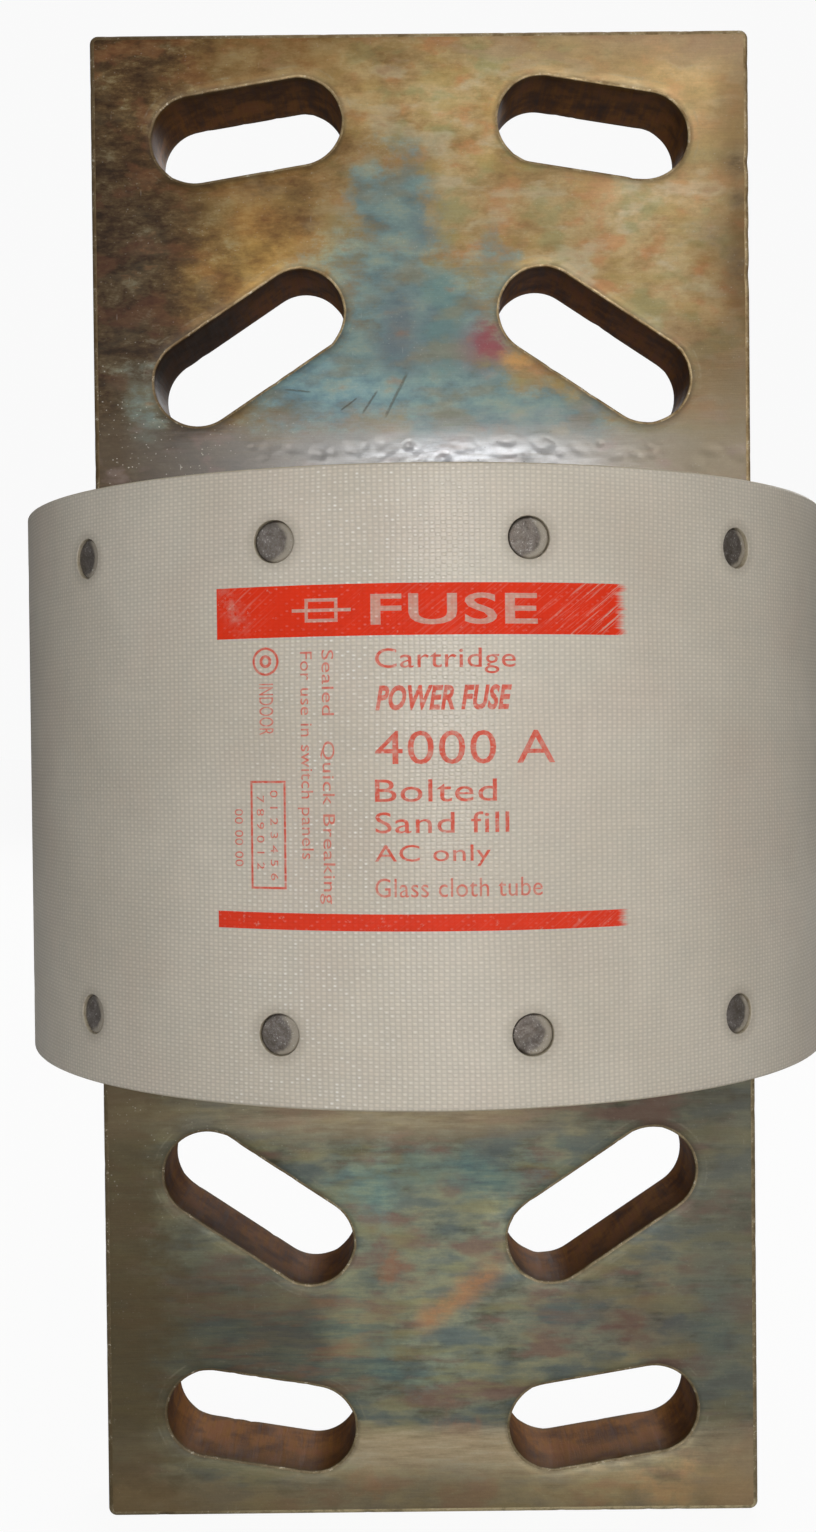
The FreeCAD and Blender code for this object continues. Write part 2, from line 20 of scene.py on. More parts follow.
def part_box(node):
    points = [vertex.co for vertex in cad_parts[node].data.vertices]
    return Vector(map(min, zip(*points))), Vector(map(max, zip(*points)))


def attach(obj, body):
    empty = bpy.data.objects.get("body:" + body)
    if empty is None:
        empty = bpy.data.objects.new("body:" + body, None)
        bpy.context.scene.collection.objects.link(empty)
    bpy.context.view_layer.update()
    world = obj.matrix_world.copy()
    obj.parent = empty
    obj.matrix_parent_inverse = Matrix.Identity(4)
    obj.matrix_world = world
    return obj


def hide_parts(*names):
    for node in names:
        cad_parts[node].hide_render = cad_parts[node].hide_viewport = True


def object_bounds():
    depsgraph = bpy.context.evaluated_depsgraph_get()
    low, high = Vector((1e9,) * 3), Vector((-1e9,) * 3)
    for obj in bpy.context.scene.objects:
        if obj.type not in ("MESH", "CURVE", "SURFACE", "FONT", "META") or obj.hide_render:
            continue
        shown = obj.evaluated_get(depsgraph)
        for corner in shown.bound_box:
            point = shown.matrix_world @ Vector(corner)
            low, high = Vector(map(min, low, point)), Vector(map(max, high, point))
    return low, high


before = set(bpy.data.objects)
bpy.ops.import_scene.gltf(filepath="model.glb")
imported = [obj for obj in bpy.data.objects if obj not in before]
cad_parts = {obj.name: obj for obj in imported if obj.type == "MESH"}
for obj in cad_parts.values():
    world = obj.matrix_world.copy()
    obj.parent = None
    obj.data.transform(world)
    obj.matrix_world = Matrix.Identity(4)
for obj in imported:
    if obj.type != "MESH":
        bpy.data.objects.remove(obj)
cad_low, cad_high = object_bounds()

MM = 0.001
scene = bpy.context.scene
scene.view_settings.view_transform = "Standard"
scene.view_settings.look = "None"

# ------------------------------------------------------------------ sizes, mm
blade_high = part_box("upper_terminal_blade")[1]
HALF_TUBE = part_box("casing_tube")[1].z / MM
HALF_LONG = blade_high.z / MM  # from the middle to a blade's outer end
HALF_WIDE = blade_high.x / MM
HALF_THICK = blade_high.y / MM

R_OUT = 73.025
R_IN = 63.5
TUBE_EDGE = 0.6  # rounding of the tube's outer edge
INNER_EDGE = 0.3

PIN_COUNT = 12  # at each end of the tube
PIN_STEP = 2 * math.pi / PIN_COUNT
PIN_TURN = math.radians(11.63)  # first pin, from the front towards +X
PIN_Z = HALF_TUBE - 11.0
HOLE_R = 3.175
HOLE_LIP = 0.2
PIN_R = 3.13
PIN_OUT = R_OUT - 0.3
PIN_IN = 51.2

BLADE_ROUND = 0.9  # rounding of the blade's edges
PLAN_ROUND = 1.5  # rounding of its two outer corners
SLOT_R = 7.9375
SLOT_LIP = 0.45
# Each slot runs between two arc centres, (x, z).
RIGHT_SLOTS = [
    ((22.225, HALF_LONG - start), (41.275, HALF_LONG - end))
    for start, end in ((15.875, 19.05), (50.8, 63.5))
]
SLOTS = [
    tuple((side * x, z) for x, z in slot) for side in (-1, 1) for slot in RIGHT_SLOTS
]
TENON_HALF_WIDE = 47.625
TENON_HALF_THICK = 6.35
TENON_LONG = 19.05

THREAD_ROUND = 0.838  # the cloth's thread pitch round the tube
THREAD_ALONG = 0.565  # and along it


# ---------------------------------------------------------------- mesh helpers
def add_object(name, mesh):
    ob = bpy.data.objects.new(name, mesh)
    scene.collection.objects.link(ob)
    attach(ob, "root")
    return ob


class Builder:
    """Collects faces, joining points that agree to a ten-thousandth of a millimetre."""

    def __init__(self):
        self.points, self.index, self.faces, self.kinds = [], {}, [], []

    def point(self, place):
        key = tuple(round(c, 4) for c in place)
        if key not in self.index:
            self.index[key] = len(self.points)
            self.points.append(tuple(place))
        return self.index[key]

    def face(self, corners, kind=0):
        """Adds a face of material number kind, unless it has collapsed."""
        ids = [self.point(c) for c in corners]
        clean = [ids[i] for i in range(len(ids)) if ids[i] != ids[i - 1]]
        if len(set(clean)) >= 3 and len(set(clean)) == len(clean):
            self.faces.append(clean)
            self.kinds.append(kind)

    def rings(self, rings, kind=0, closed=True, kinds=None):
        """Quads between neighbouring rings of equally many points."""
        for k in range(len(rings) - 1):
            a, b = rings[k], rings[k + 1]
            n = len(a)
            for i in range(n if closed else n - 1):
                j = (i + 1) % n
                self.face((a[i], a[j], b[j], b[i]), kinds[k] if kinds else kind)

    def object(self, name, materials, recalc=True):
        mesh = bpy.data.meshes.new(name)
        mesh.from_pydata([(x * MM, y * MM, z * MM) for x, y, z in self.points], [], self.faces)
        mesh.polygons.foreach_set("material_index", self.kinds)
        for material in materials:
            mesh.materials.append(material)
        if recalc:
            bm = bmesh.new()
            bm.from_mesh(mesh)
            bmesh.ops.recalc_face_normals(bm, faces=bm.faces)
            bm.to_mesh(mesh)
            bm.free()
        mesh.polygons.foreach_set("use_smooth", [True] * len(mesh.polygons))
        mesh.update()
        return add_object(name, mesh)


# ---------------------------------------------------------------- node helpers
def linear(colour):
    """Turns three sRGB numbers, 0 to 255, into a linear colour; anything else is kept."""
    if isinstance(colour, Wire) or len(colour) == 4:
        return colour
    out = []
    for c in colour:
        c = c / 255.0
        out.append(c / 12.92 if c <= 0.04045 else ((c + 0.055) / 1.055) ** 2.4)
    return (*out, 1.0)


class Wire:
    """A node's output. Anything worked out from it adds nodes to its graph."""

    def __init__(self, graph, socket):
        self.graph, self.socket = graph, socket

    def math(self, operation, other=None):
        return self.graph.math(operation, self, other)

    def __add__(self, other):
        return self.math("ADD", other)

    def __radd__(self, other):
        return self.graph.math("ADD", other, self)

    def __sub__(self, other):
        return self.math("SUBTRACT", other)

    def __rsub__(self, other):
        return self.graph.math("SUBTRACT", other, self)

    def __mul__(self, other):
        return self.math("MULTIPLY", other)

    def __pow__(self, other):
        return self.math("POWER", other)

    def __abs__(self):
        return self.math("ABSOLUTE")

    def max(self, other):
        return self.math("MAXIMUM", other)

    def clamp(self):
        return self.graph.math("ADD", self, 0.0, clamp=True)

    def ruffle(self, noise, width):
        """Moves the value up and down by a noise whose middle is 0.5."""
        return self + (noise - 0.5) * width

    def fit(self, start, end, low=0.0, high=1.0, kind="LINEAR"):
        """low at start to high at end, and flat beyond; start may be the larger."""
        values = {0: self, 1: start, 2: end, 3: low, 4: high}
        return self.graph.node("ShaderNodeMapRange", values, interpolation_type=kind)

    def smooth(self, start, end, low=0.0, high=1.0):
        """fit with soft ends."""
        return self.fit(start, end, low, high, "SMOOTHSTEP")

    # Vectors.
    def vector(self, operation, inputs):
        return self.graph.node("ShaderNodeVectorMath", {0: self, **inputs}, operation=operation)

    def scale(self, factor):
        return self.vector("SCALE", {"Scale": factor})

    def times(self, factors):
        return self.vector("MULTIPLY", {1: factors})

    def shift(self, offset):
        return self.vector("ADD", {1: offset})

    def split(self):
        first = self.graph.node("ShaderNodeSeparateXYZ", {0: self})
        return [Wire(self.graph, socket) for socket in first.socket.node.outputs]

    def noise(self, detail=3.0, rough=0.55, scale=1.0, output=0):
        """Output 0 is one value about 0.5, output 1 a colour of three."""
        values = {"Vector": self, "Scale": scale, "Detail": detail, "Roughness": rough}
        return self.graph.node("ShaderNodeTexNoise", values, output)

    def cells(self):
        """Distance from the nearest of many scattered points."""
        return self.graph.node("ShaderNodeTexVoronoi", {"Vector": self, "Scale": 1.0}, "Distance")

    # Colours.
    def ramp(self, stops):
        """A colour from {position: colour}."""
        wire = self.graph.node("ShaderNodeValToRGB", {0: self})
        elements = wire.socket.node.color_ramp.elements
        while len(elements) > 1:
            elements.remove(elements[-1])
        (position, colour), *others = stops.items()
        elements[0].position, elements[0].color = position, linear(colour)
        for position, colour in others:
            elements.new(position).color = linear(colour)
        return wire

    def between(self, first, second):
        """The first colour where this is 0, the second where it is 1."""
        return self.graph.mix(self, first, second)

    def tint(self, amount, colour):
        """Lays a colour over this one."""
        return self.graph.mix(amount, self, colour)

    def gain(self, red, green, blue):
        return self.graph.mix(1.0, self, self.graph.join(red, green, blue), "MULTIPLY")

    def shade(self, tone):
        return self.gain(tone, tone, tone)

    def bump(self, depth, normal=None):
        """A normal from this height; depth is in millimetres."""
        values = {"Distance": depth * MM, "Height": self, "Normal": normal}
        return self.graph.node("ShaderNodeBump", values)


class Graph:
    """The node tree of a material or world. Any input may be a wire or a plain value."""

    def __init__(self, owner, output="ShaderNodeOutputMaterial"):
        owner.use_nodes = True
        self.owner, self.tree = owner, owner.node_tree
        self.tree.nodes.clear()
        self.out = self.tree.nodes.new(output)

    def node(self, kind, inputs=None, output=0, **settings):
        """Adds a node; inputs maps its sockets to values, None leaving one as it is."""
        node = self.tree.nodes.new(kind)
        for key, value in settings.items():
            setattr(node, key, value)
        for key, value in (inputs or {}).items():
            if isinstance(value, Wire):
                self.tree.links.new(value.socket, node.inputs[key])
            elif value is not None:
                node.inputs[key].default_value = value
        return Wire(self, node.outputs[output])

    def math(self, operation, a, b=None, clamp=False):
        return self.node("ShaderNodeMath", {0: a, 1: b}, operation=operation, use_clamp=clamp)

    def mix(self, amount, a, b, mode="MIX"):
        values = {0: amount, 6: linear(a), 7: linear(b)}
        return self.node("ShaderNodeMix", values, 2, data_type="RGBA", blend_type=mode)

    def join(self, x, y, z):
        return self.node("ShaderNodeCombineXYZ", {0: x, 1: y, 2: z})

    def place(self):
        """The point in the object's own frame, in millimetres."""
        return self.node("ShaderNodeTexCoord", output="Object").scale(1000.0)

    def turn(self, x, y):
        """The angle round the tube, from the front towards +X."""
        return self.math("ARCTAN2", x, y * -1.0)

    def hypot(self, a, b):
        return (a * a + b * b).math("SQRT")

    def from_pin(self, steps, z):
        """Distances round and along from the nearest pin; steps is the turn in pin steps."""
        phase = (steps + (0.5 - PIN_TURN / PIN_STEP)).math("FRACT")
        return (phase - 0.5) * (PIN_STEP * R_OUT), z - z.math("SIGN") * PIN_Z

    def spot(self, x, z, middle_x, middle_z, radius_x, radius_z, power=1.0):
        """A soft blot, 1 in its middle."""
        dx = self.math("SUBTRACT", x, middle_x) * (1.0 / radius_x)
        dz = self.math("SUBTRACT", z, middle_z) * (1.0 / radius_z)
        d = dx * dx + dz * dz
        if power != 1.0:
            d = d**power
        return (d * -1.0).math("EXPONENT")

    def hump(self, value, middle, radius, power=1.0):
        """A blot along one direction only."""
        return self.spot(value, 0.0, middle, 0.0, radius, 1.0, power)

    def blots(self, x, z, rows):
        """Blots (x, z, x radius, z radius) with, where wanted, a strength after them."""
        out = []
        for row in rows:
            spot = self.spot(x, z, *row[:4])
            out.append(spot * row[4] if len(row) > 4 else spot)
        return out

    def slot_gap(self, x, z):
        """Distance from the nearest slot's wall; z is measured towards the blade's end."""
        across = abs(x)
        found = []
        for (x0, z0), (x1, z1) in RIGHT_SLOTS:
            dx, dz = x1 - x0, z1 - z0
            square = dx * dx + dz * dz
            px, pz = across - x0, z - z0
            t = (px * (dx / square) + pz * (dz / square)).clamp()
            found.append(self.hypot(px - t * dx, pz - t * dz))
        return self.math("MINIMUM", *found) - SLOT_R

    def shader(self, kind, **inputs):
        return self.node(kind, {key.replace("_", " "): v for key, v in inputs.items()})

    def camera_mix(self, amount, other, seen):
        return self.node("ShaderNodeMixShader", {0: amount, 1: other, 2: seen})

    def is_camera(self):
        return self.node("ShaderNodeLightPath", output="Is Camera Ray")

    def output(self, shader):
        self.tree.links.new(shader.socket, self.out.inputs[0])
        return self.owner

    def finish(self, **inputs):
        return self.output(self.shader("ShaderNodeBsdfPrincipled", **inputs))


def new_graph(name):
    return Graph(bpy.data.materials.new(name))


def total(wires):
    return sum(wires[1:], wires[0])


# ------------------------------------------------------- glass-cloth laminate
def cloth(g):
    """The parts of the varnished glass cloth on the tube's skin."""
    p = g.place()
    x, y, z = p.split()
    s = g.turn(x, y) * R_OUT
    # The cloth isn't quite straight.
    s2 = s.ruffle(g.join(s * 0.03, z * 0.03, 0.0).noise(2.0), 1.6)
    z2 = z.ruffle(g.join(s * 0.025, z * 0.04, 7.0).noise(2.0), 1.2)
    round_wave = (s2 * (math.pi / THREAD_ROUND)).math("SINE")
    over = round_wave * (z2 * (math.pi / THREAD_ALONG)).math("SINE")
    dome = abs(over) ** 0.6
    # Each crossing has its own strength, so no two threads look alike.
    cell = g.join(
        (s2 * (1.0 / THREAD_ROUND)).math("FLOOR"), (z2 * (1.0 / THREAD_ALONG)).math("FLOOR"), 0.0
    )
    chance = g.node("ShaderNodeTexWhiteNoise", {0: cell}, noise_dimensions="3D")
    raised = over.max(0.0)
    height = dome * 0.4 + raised * chance.fit(0, 1, 0.25, 0.85)
    # Fine streaks round and along the tube, and slow patches in the resin.
    streak = g.join(s * 0.05, z * 2.6, 3.0).noise(4.0, 0.6)
    upright = g.join(s * 2.2, z * 0.06, 5.0).noise(3.0, 0.6)
    patch = p.scale(0.035).noise(3.0, 0.5)
    cloudy = p.scale(0.22).noise(4.0, 0.6)
    colour = patch.fit(0.32, 0.68).between((208, 198, 182), (220, 211, 196))
    colour = colour.tint(cloudy.fit(0.35, 0.75) * 0.3, (196, 192, 180))
    rosy = p.scale(0.05).shift((21, 3, 9)).noise(3.0, 0.5)
    colour = colour.tint(rosy.fit(0.5, 0.7, 0.0, 0.16), (208, 184, 170))
    tone = (streak - 0.5) * 0.13 + (upright - 0.5) * 0.09 + (dome - 0.62) * 0.16
    colour = colour.shade(tone + (raised - 0.25) * 0.1 + 1.0)
    # Painted glints: pin-point highlights painted on the fibre tops, most of them in a band left of
    # the front where the light is reflected.
    where = g.hump(s + z * -0.12, -14.0, 15.0).max(0.16)
    tip = abs(over).smooth(0.5, 0.97) * over.fit(-0.1, 0.1, 0.5, 1.0)
    painted_glint = (tip * chance.fit(0.5, 0.9)) * (where * cloudy.fit(0.36, 0.6, 0.3, 1.0))
    colour = colour.tint(painted_glint * 0.85, (252, 250, 246))
    # A few small dark flecks in the resin.
    fleck = g.join(s * 0.12, z * 0.12, 0.0).cells().fit(0.028, 0.012) * patch.fit(0.5, 0.6)
    return SimpleNamespace(
        p=p, s=s, z=z, over=over, chance=chance, cloudy=cloudy, height=height,
        colour=colour.tint(fleck * 0.16, (150, 138, 118)),
        rough=dome.fit(0.0, 1.0, 0.6, 0.42) - painted_glint * 0.15,
    )


def make_cloth(name):
    g = new_graph(name)
    c = cloth(g)
    # Around each pin hole the skin is a little darker: a painted shade round the hole.
    from_hole = g.hypot(*g.from_pin(c.s * (1.0 / (R_OUT * PIN_STEP)), c.z))
    painted_hole_shade = from_hole.ruffle(c.cloudy, 1.4).smooth(5.2, 3.1)
    normal = c.height.bump(0.055)
    return g.finish(
        Base_Color=c.colour.tint(painted_hole_shade * 0.34, (150, 140, 124)),
        Roughness=c.rough,
        Normal=normal,
        Specular_IOR_Level=0.42,
        Coat_Weight=0.3,
        Coat_Roughness=0.22,
        Coat_Normal=normal,
    )


def make_ink(name, ink, cover, scratch=0.0, fade=0.35, wiped=0.0, worn=0.42):
    """Printing ink on the cloth, worn by that much off the highest threads.

    fade is how patchy it is; scratch scores it and makes its right end ragged; wiped
    thins a spot of it on the left.
    """
    g = new_graph(name)
    c = cloth(g)
    s, z = c.s, c.z
    ink = linear(ink)
    blot = c.p.scale(0.9).noise(4.0, 0.65)
    mask = blot.fit(0.22, 0.22 + fade, 0.4, 1.0) * cover
    top = c.over.smooth(0.45, 0.95) * c.chance.fit(0.35, 0.95)
    mask = mask * (1.0 - top * worn)
    if scratch:
        along = s * 0.62 + z * -0.78
        across = s * 0.78 + z * 0.62
        lines = g.join(along * 2.9, across * 0.09, 1.0).noise(4.0, 0.7)
        where = s.ruffle(blot, 8.0).fit(14.0, 27.0)
        faint = s.fit(-21.0, 8.0) * 0.2 + g.spot(s, z, -29.0, 27.5, 3.6, 3.4) * 0.4
        mask = mask * (1.0 - lines.fit(0.52, 0.66) * where.max(faint) * scratch)
        rag = g.join(0.0, z * 0.9, 4.0).noise(4.0, 0.8)
        mask = mask * s.ruffle(rag, 6.0).fit(28.6, 30.2, 1.0, 0.0)
    if wiped:
        left = g.spot(s + z * 0.5, z, -17.0, 27.0, 1.6, 3.2) * blot.fit(0.4, 0.6)
        mask = mask * (1.0 - left * wiped)
    dark_ink = tuple(channel * 0.9 for channel in ink[:3]) + (1,)
    shade = c.cloudy.fit(0.3, 0.7).between(ink, dark_ink)
    return g.finish(
        Base_Color=c.colour.tint(mask.clamp(), shade),
        Roughness=c.rough + 0.12,
        Normal=c.height.bump(0.045),
        Specular_IOR_Level=0.14,
    )


def make_tube_end(name):
    """The tube's cut end faces: rolled layers of cloth show as fine rings."""
    g = new_graph(name)
    p = g.place()
    x, y, z = p.split()
    r = g.hypot(x, y)
    ring_pitch = 0.42
    wobble = p.scale(0.1).noise()
    layer = ((r + wobble * 0.5) * (2 * math.pi / ring_pitch)).math("SINE")
    fibre = g.join(r * 3.0, g.turn(x, y) * 60.0, 0.0).noise(4.0, 0.65)
    cloud = p.scale(0.18).noise(4.0, 0.6)
    colour = layer.fit(-1.0, 1.0).between((188, 174, 148), (212, 202, 180))
    colour = colour.tint(fibre.fit(0.35, 0.65, 0.0, 0.5), (226, 218, 202))
    return g.finish(
        Base_Color=colour.tint(cloud.fit(0.4, 0.7, 0.0, 0.35), (172, 156, 128)),
        Roughness=fibre.fit(0.3, 0.7, 0.5, 0.7),
        Normal=(layer * 0.2 + fibre * 0.7).bump(0.05),
    )


# --------------------------------------------------------- silvered copper
def blade_fields(g, lower):
    """The places and noises both blades' skins are made of; z runs towards the blade's end."""
    p = g.place()
    x, y, z = p.split()
    if lower:
        z = z * -1.0
    seed = 40.0 if lower else 0.0
    long = 0.55 if lower else 1.0  # the lower blade's hues are drawn out across it

    def layer(stretch, offset, detail, rough):
        return p.times(stretch).shift((seed, *offset)).noise(detail, rough)

    warp = p.scale(0.075).shift((seed, 0, 0)).noise(6.0, 0.62, output=1)
    warp_x, _, warp_z = warp.split()
    smear = layer((0.10, 0.3, 0.85), (7, 0), 5.0, 0.65)
    return SimpleNamespace(
        p=p, x=x, z=z, warp=warp, warp_z=warp_z, smear=smear,
        front=y.math("LESS_THAN", 0.0),
        warped_x=x.ruffle(warp_x, 30.0),
        warped_z=z.ruffle(warp_z, 26.0).ruffle(smear, 5.0),
        big=layer((0.04, 0.06, 0.055), (1, 0), 5.0, 0.6),
        mid=layer((0.15, 0.2, 0.27), (2, 0), 6.0, 0.66),
        fine=layer((0.62, 0.8, 1.5), (3, 0), 5.0, 0.68),
        hair=layer((0.14, 0.8, 7.0), (5, 0), 3.0, 0.6),
        grain=p.scale(3.0).noise(3.0, 0.7),
        hue=layer((0.11 * long, 0.1, 0.17), (4, 9), 4.0, 0.55),
        hue2=layer((0.09 * long, 0.1, 0.2), (8, 5), 4.0, 0.55),
        slot=g.slot_gap(x, z),
    )


def washes(colour, rows):
    """Broad tints. rows: (noise, where it starts, where it is full, most, colour)."""
    for noise, start, full, most, wash in rows:
        colour = colour.tint(noise.smooth(start, full, 0.0, most), wash)
    return colour


def front_clouds(g, f, colour, rows):
    """Broad clouds on the front. rows: (x, z, x radius, z radius, (red, green, blue) gain)."""
    gains = []
    for i in range(3):
        parts = g.blots(f.warped_x, f.warped_z, [(*row[:4], row[4][i]) for row in rows])
        gains.append(sum(parts, 1.0))
    return colour.tint(f.front, colour.gain(*gains))


def blade_finish(g, f, colour, lower, marks=None, bare_and_sheen=None):
    """Brushing, grain, specks, and a dark line and a painted highlight round each slot, over either
    blade's colours.

    marks are scores pressed into the metal; the last argument is where it shows untarnished, with a
    painted reflection there.
    """
    # A dark line round each slot, and further out a light line, a painted highlight on the faint
    # ridge there.
    slot = f.slot.ruffle(f.mid, 0.5)
    dark = slot.smooth(1.25, 0.5) * f.fine.fit(0.35, 0.6, 0.4, 1.0)
    colour = colour.tint(dark * 0.45, (70, 66, 50))
    ring = slot.smooth(1.7, 1.95) * slot.smooth(2.3, 2.0) * f.mid.fit(0.47, 0.58)
    colour = colour.tint(ring * 0.22, (168, 162, 138))
    tone = (f.smear - 0.5) * (0.14 if lower else 0.08) + (f.fine - 0.5) * 0.3
    colour = colour.shade(tone + (f.hair - 0.5) * 0.2 + (f.grain - 0.5) * 0.28 + 1.0)
    # Rubbed specks and short white scores, thickest near the left foot.
    ragged = f.grain - 0.5
    speck = f.p.times((0.95, 1.0, 1.25)).cells() + ragged * 0.5
    speck = speck.fit(0.16, 0.06) * f.mid.fit(0.42, 0.56)
    score = f.p.times((0.55, 0.6, 0.1)).shift((3, 1, 8)).cells() + ragged * 0.08
    score = score.fit(0.075, 0.025) * f.hue2.fit(0.44, 0.54)
    corner = (f.x.fit(-14.0, -42.0) * f.z.fit(92.0, 66.0)).max(0.22)
    white = speck.max(score * 0.7) * corner
    colour = colour.tint(white * 0.8 * (0.5 if lower else 1.0), (228, 224, 212))
    metal = 0.3
    rough = f.fine.fit(0.3, 0.7, 0.4, 0.54).ruffle(f.grain, 0.12)
    if bare_and_sheen:
        rough = rough - bare_and_sheen * 0.07
        metal = bare_and_sheen * 0.18 + metal
    normal = (f.fine * 0.35 + f.hair * 0.45 + f.grain * 0.22 + f.smear * 0.2).bump(0.04)
    if marks:
        normal = (1.0 - marks).bump(0.05, normal)
    return g.finish(
        Base_Color=colour,
        Metallic=metal,
        Roughness=rough,
        Normal=normal,
        Specular_IOR_Level=0.38,
    )


# In the blot tables z is the distance from the fuse's middle towards the blade's end.
# Columns: x, z, x radius, z radius, strength.
BLUE_STAIN = (
    (-5.0, 110.0, 5.5, 8.0, 0.75), (-5.0, 100.0, 7.0, 8.0, 0.85), (-16.0, 94.0, 5.0, 5.0, 0.5),
    (12.5, 97.0, 3.5, 8.0, 0.55), (-1.0, 82.0, 13.5, 11.0, 1.6), (7.0, 70.0, 13.0, 7.0, 1.3),
    (25.0, 66.0, 12.0, 4.2, 1.1), (-17.0, 70.0, 14.0, 7.0, 1.15),
)
DEEP_BLUE = ((-4.0, 82.0, 5.0, 9.0, 1.1), (5.0, 82.0, 3.0, 7.0, 0.8), (0.0, 101.0, 3.0, 5.0, 0.6))
EDGE_STAINS = (
    (58.0, 112.0, 2.2, 2.4), (58.4, 105.5, 1.8, 1.7),
    (58.0, 93.0, 2.4, 6.0, 0.8), (53.0, 100.0, 5.0, 3.0, 0.5),
)
TEAL_STAIN = (
    (13.0, 73.5, 11.0, 7.0), (-10.0, 75.0, 13.0, 7.5, 0.9), (-12.0, 90.0, 12.0, 6.0, 0.45),
    (-9.0, 108.0, 9.0, 6.5, 0.8), (-38.0, 92.0, 10.0, 8.0, 0.5), (30.0, 104.0, 16.0, 6.0, 0.5),
)
COPPER_SPOTS = (
    (-6.0, 91.0, 2.2, 1.6), (-9.0, 131.0, 2.8, 1.8),
    (3.0, 119.5, 3.6, 2.4), (44.0, 131.0, 8.0, 2.2, 0.8),
)
# Columns: x, z, x radius, z radius, gain of red, green and blue.
UPPER_CLOUDS = (
    (1.0, 124.0, 17.0, 9.0, (0.36, 0.4, 0.44)),
    (-32.0, 95.0, 12.0, 11.0, (0.9, 0.95, 0.65)),
    (-49.0, 128.0, 9.0, 12.0, (0.75, 0.68, 0.42)),
    (-50.0, 112.0, 6.0, 8.0, (0.35, 0.3, 0.15)),
    (59.0, 94.0, 6.0, 24.0, (-0.32, -0.4, -0.5)),
    (-13.0, 124.0, 6.0, 9.0, (0.22, 0.22, 0.2)),
    (14.0, 122.0, 6.0, 7.0, (0.2, 0.22, 0.2)),
    (50.0, 129.0, 7.0, 7.0, (0.34, 0.32, 0.28)),
    (0.0, 68.0, 12.0, 5.0, (0.26, 0.26, 0.26)),
    (6.0, 95.0, 8.0, 5.0, (0.18, 0.18, 0.14)),
    (41.0, 104.0, 12.0, 7.0, (0.3, 0.36, 0.5)),
    (51.0, 78.0, 5.0, 7.0, (-0.2, -0.28, -0.36)),
    (-16.0, 69.0, 14.0, 5.0, (0.08, 0.2, 0.34)),
)
LOWER_CLOUDS = (
    (38.0, 100.0, 10.0, 13.0, (-0.26, -0.36, -0.34)),
    (-18.0, 101.0, 7.0, 9.0, (0.85, 0.85, 0.65)),
    (-2.0, 108.0, 6.0, 5.0, (0.25, 0.25, 0.2)),
    (-10.0, 78.0, 8.0, 10.0, (0.26, 0.28, 0.3)),
    (16.0, 85.0, 5.0, 5.0, (0.6, 0.66, 0.7)),
    (-2.0, 92.0, 16.0, 22.0, (0.08, 0.1, 0.1)),
    (42.0, 131.5, 24.0, 4.5, (0.8, 0.72, 0.5)),
    (38.0, 64.0, 18.0, 7.0, (-0.34, -0.36, -0.38)),
    (5.0, 100.0, 8.0, 14.0, (0.14, 0.18, 0.22)),
)
# Slanting scores. Columns: middle x, z, direction x, z, half length, width.
SCORES = (
    (-4.8, 70.4, 0.46, 0.888, 4.8, 0.2),
    (-9.6, 69.2, 0.55, 0.83, 2.6, 0.15),
    (-23.0, 71.4, 0.96, -0.1, 2.6, 0.14),
    (-13.5, 68.8, 0.8, 0.6, 2.0, 0.12),
)


def score_marks(x, z, fine):
    found = []
    for middle_x, middle_z, dir_x, dir_z, half, wide in SCORES:
        dx, dz = x - middle_x, z - middle_z
        across = (dx * dir_z - dz * dir_x).ruffle(fine, 0.3)
        along = dx * dir_x + dz * dir_z
        found.append(abs(across).fit(wide * 1.5, wide * 0.6) * abs(along).fit(half, half * 0.75))
    return reduce(Wire.max, found)


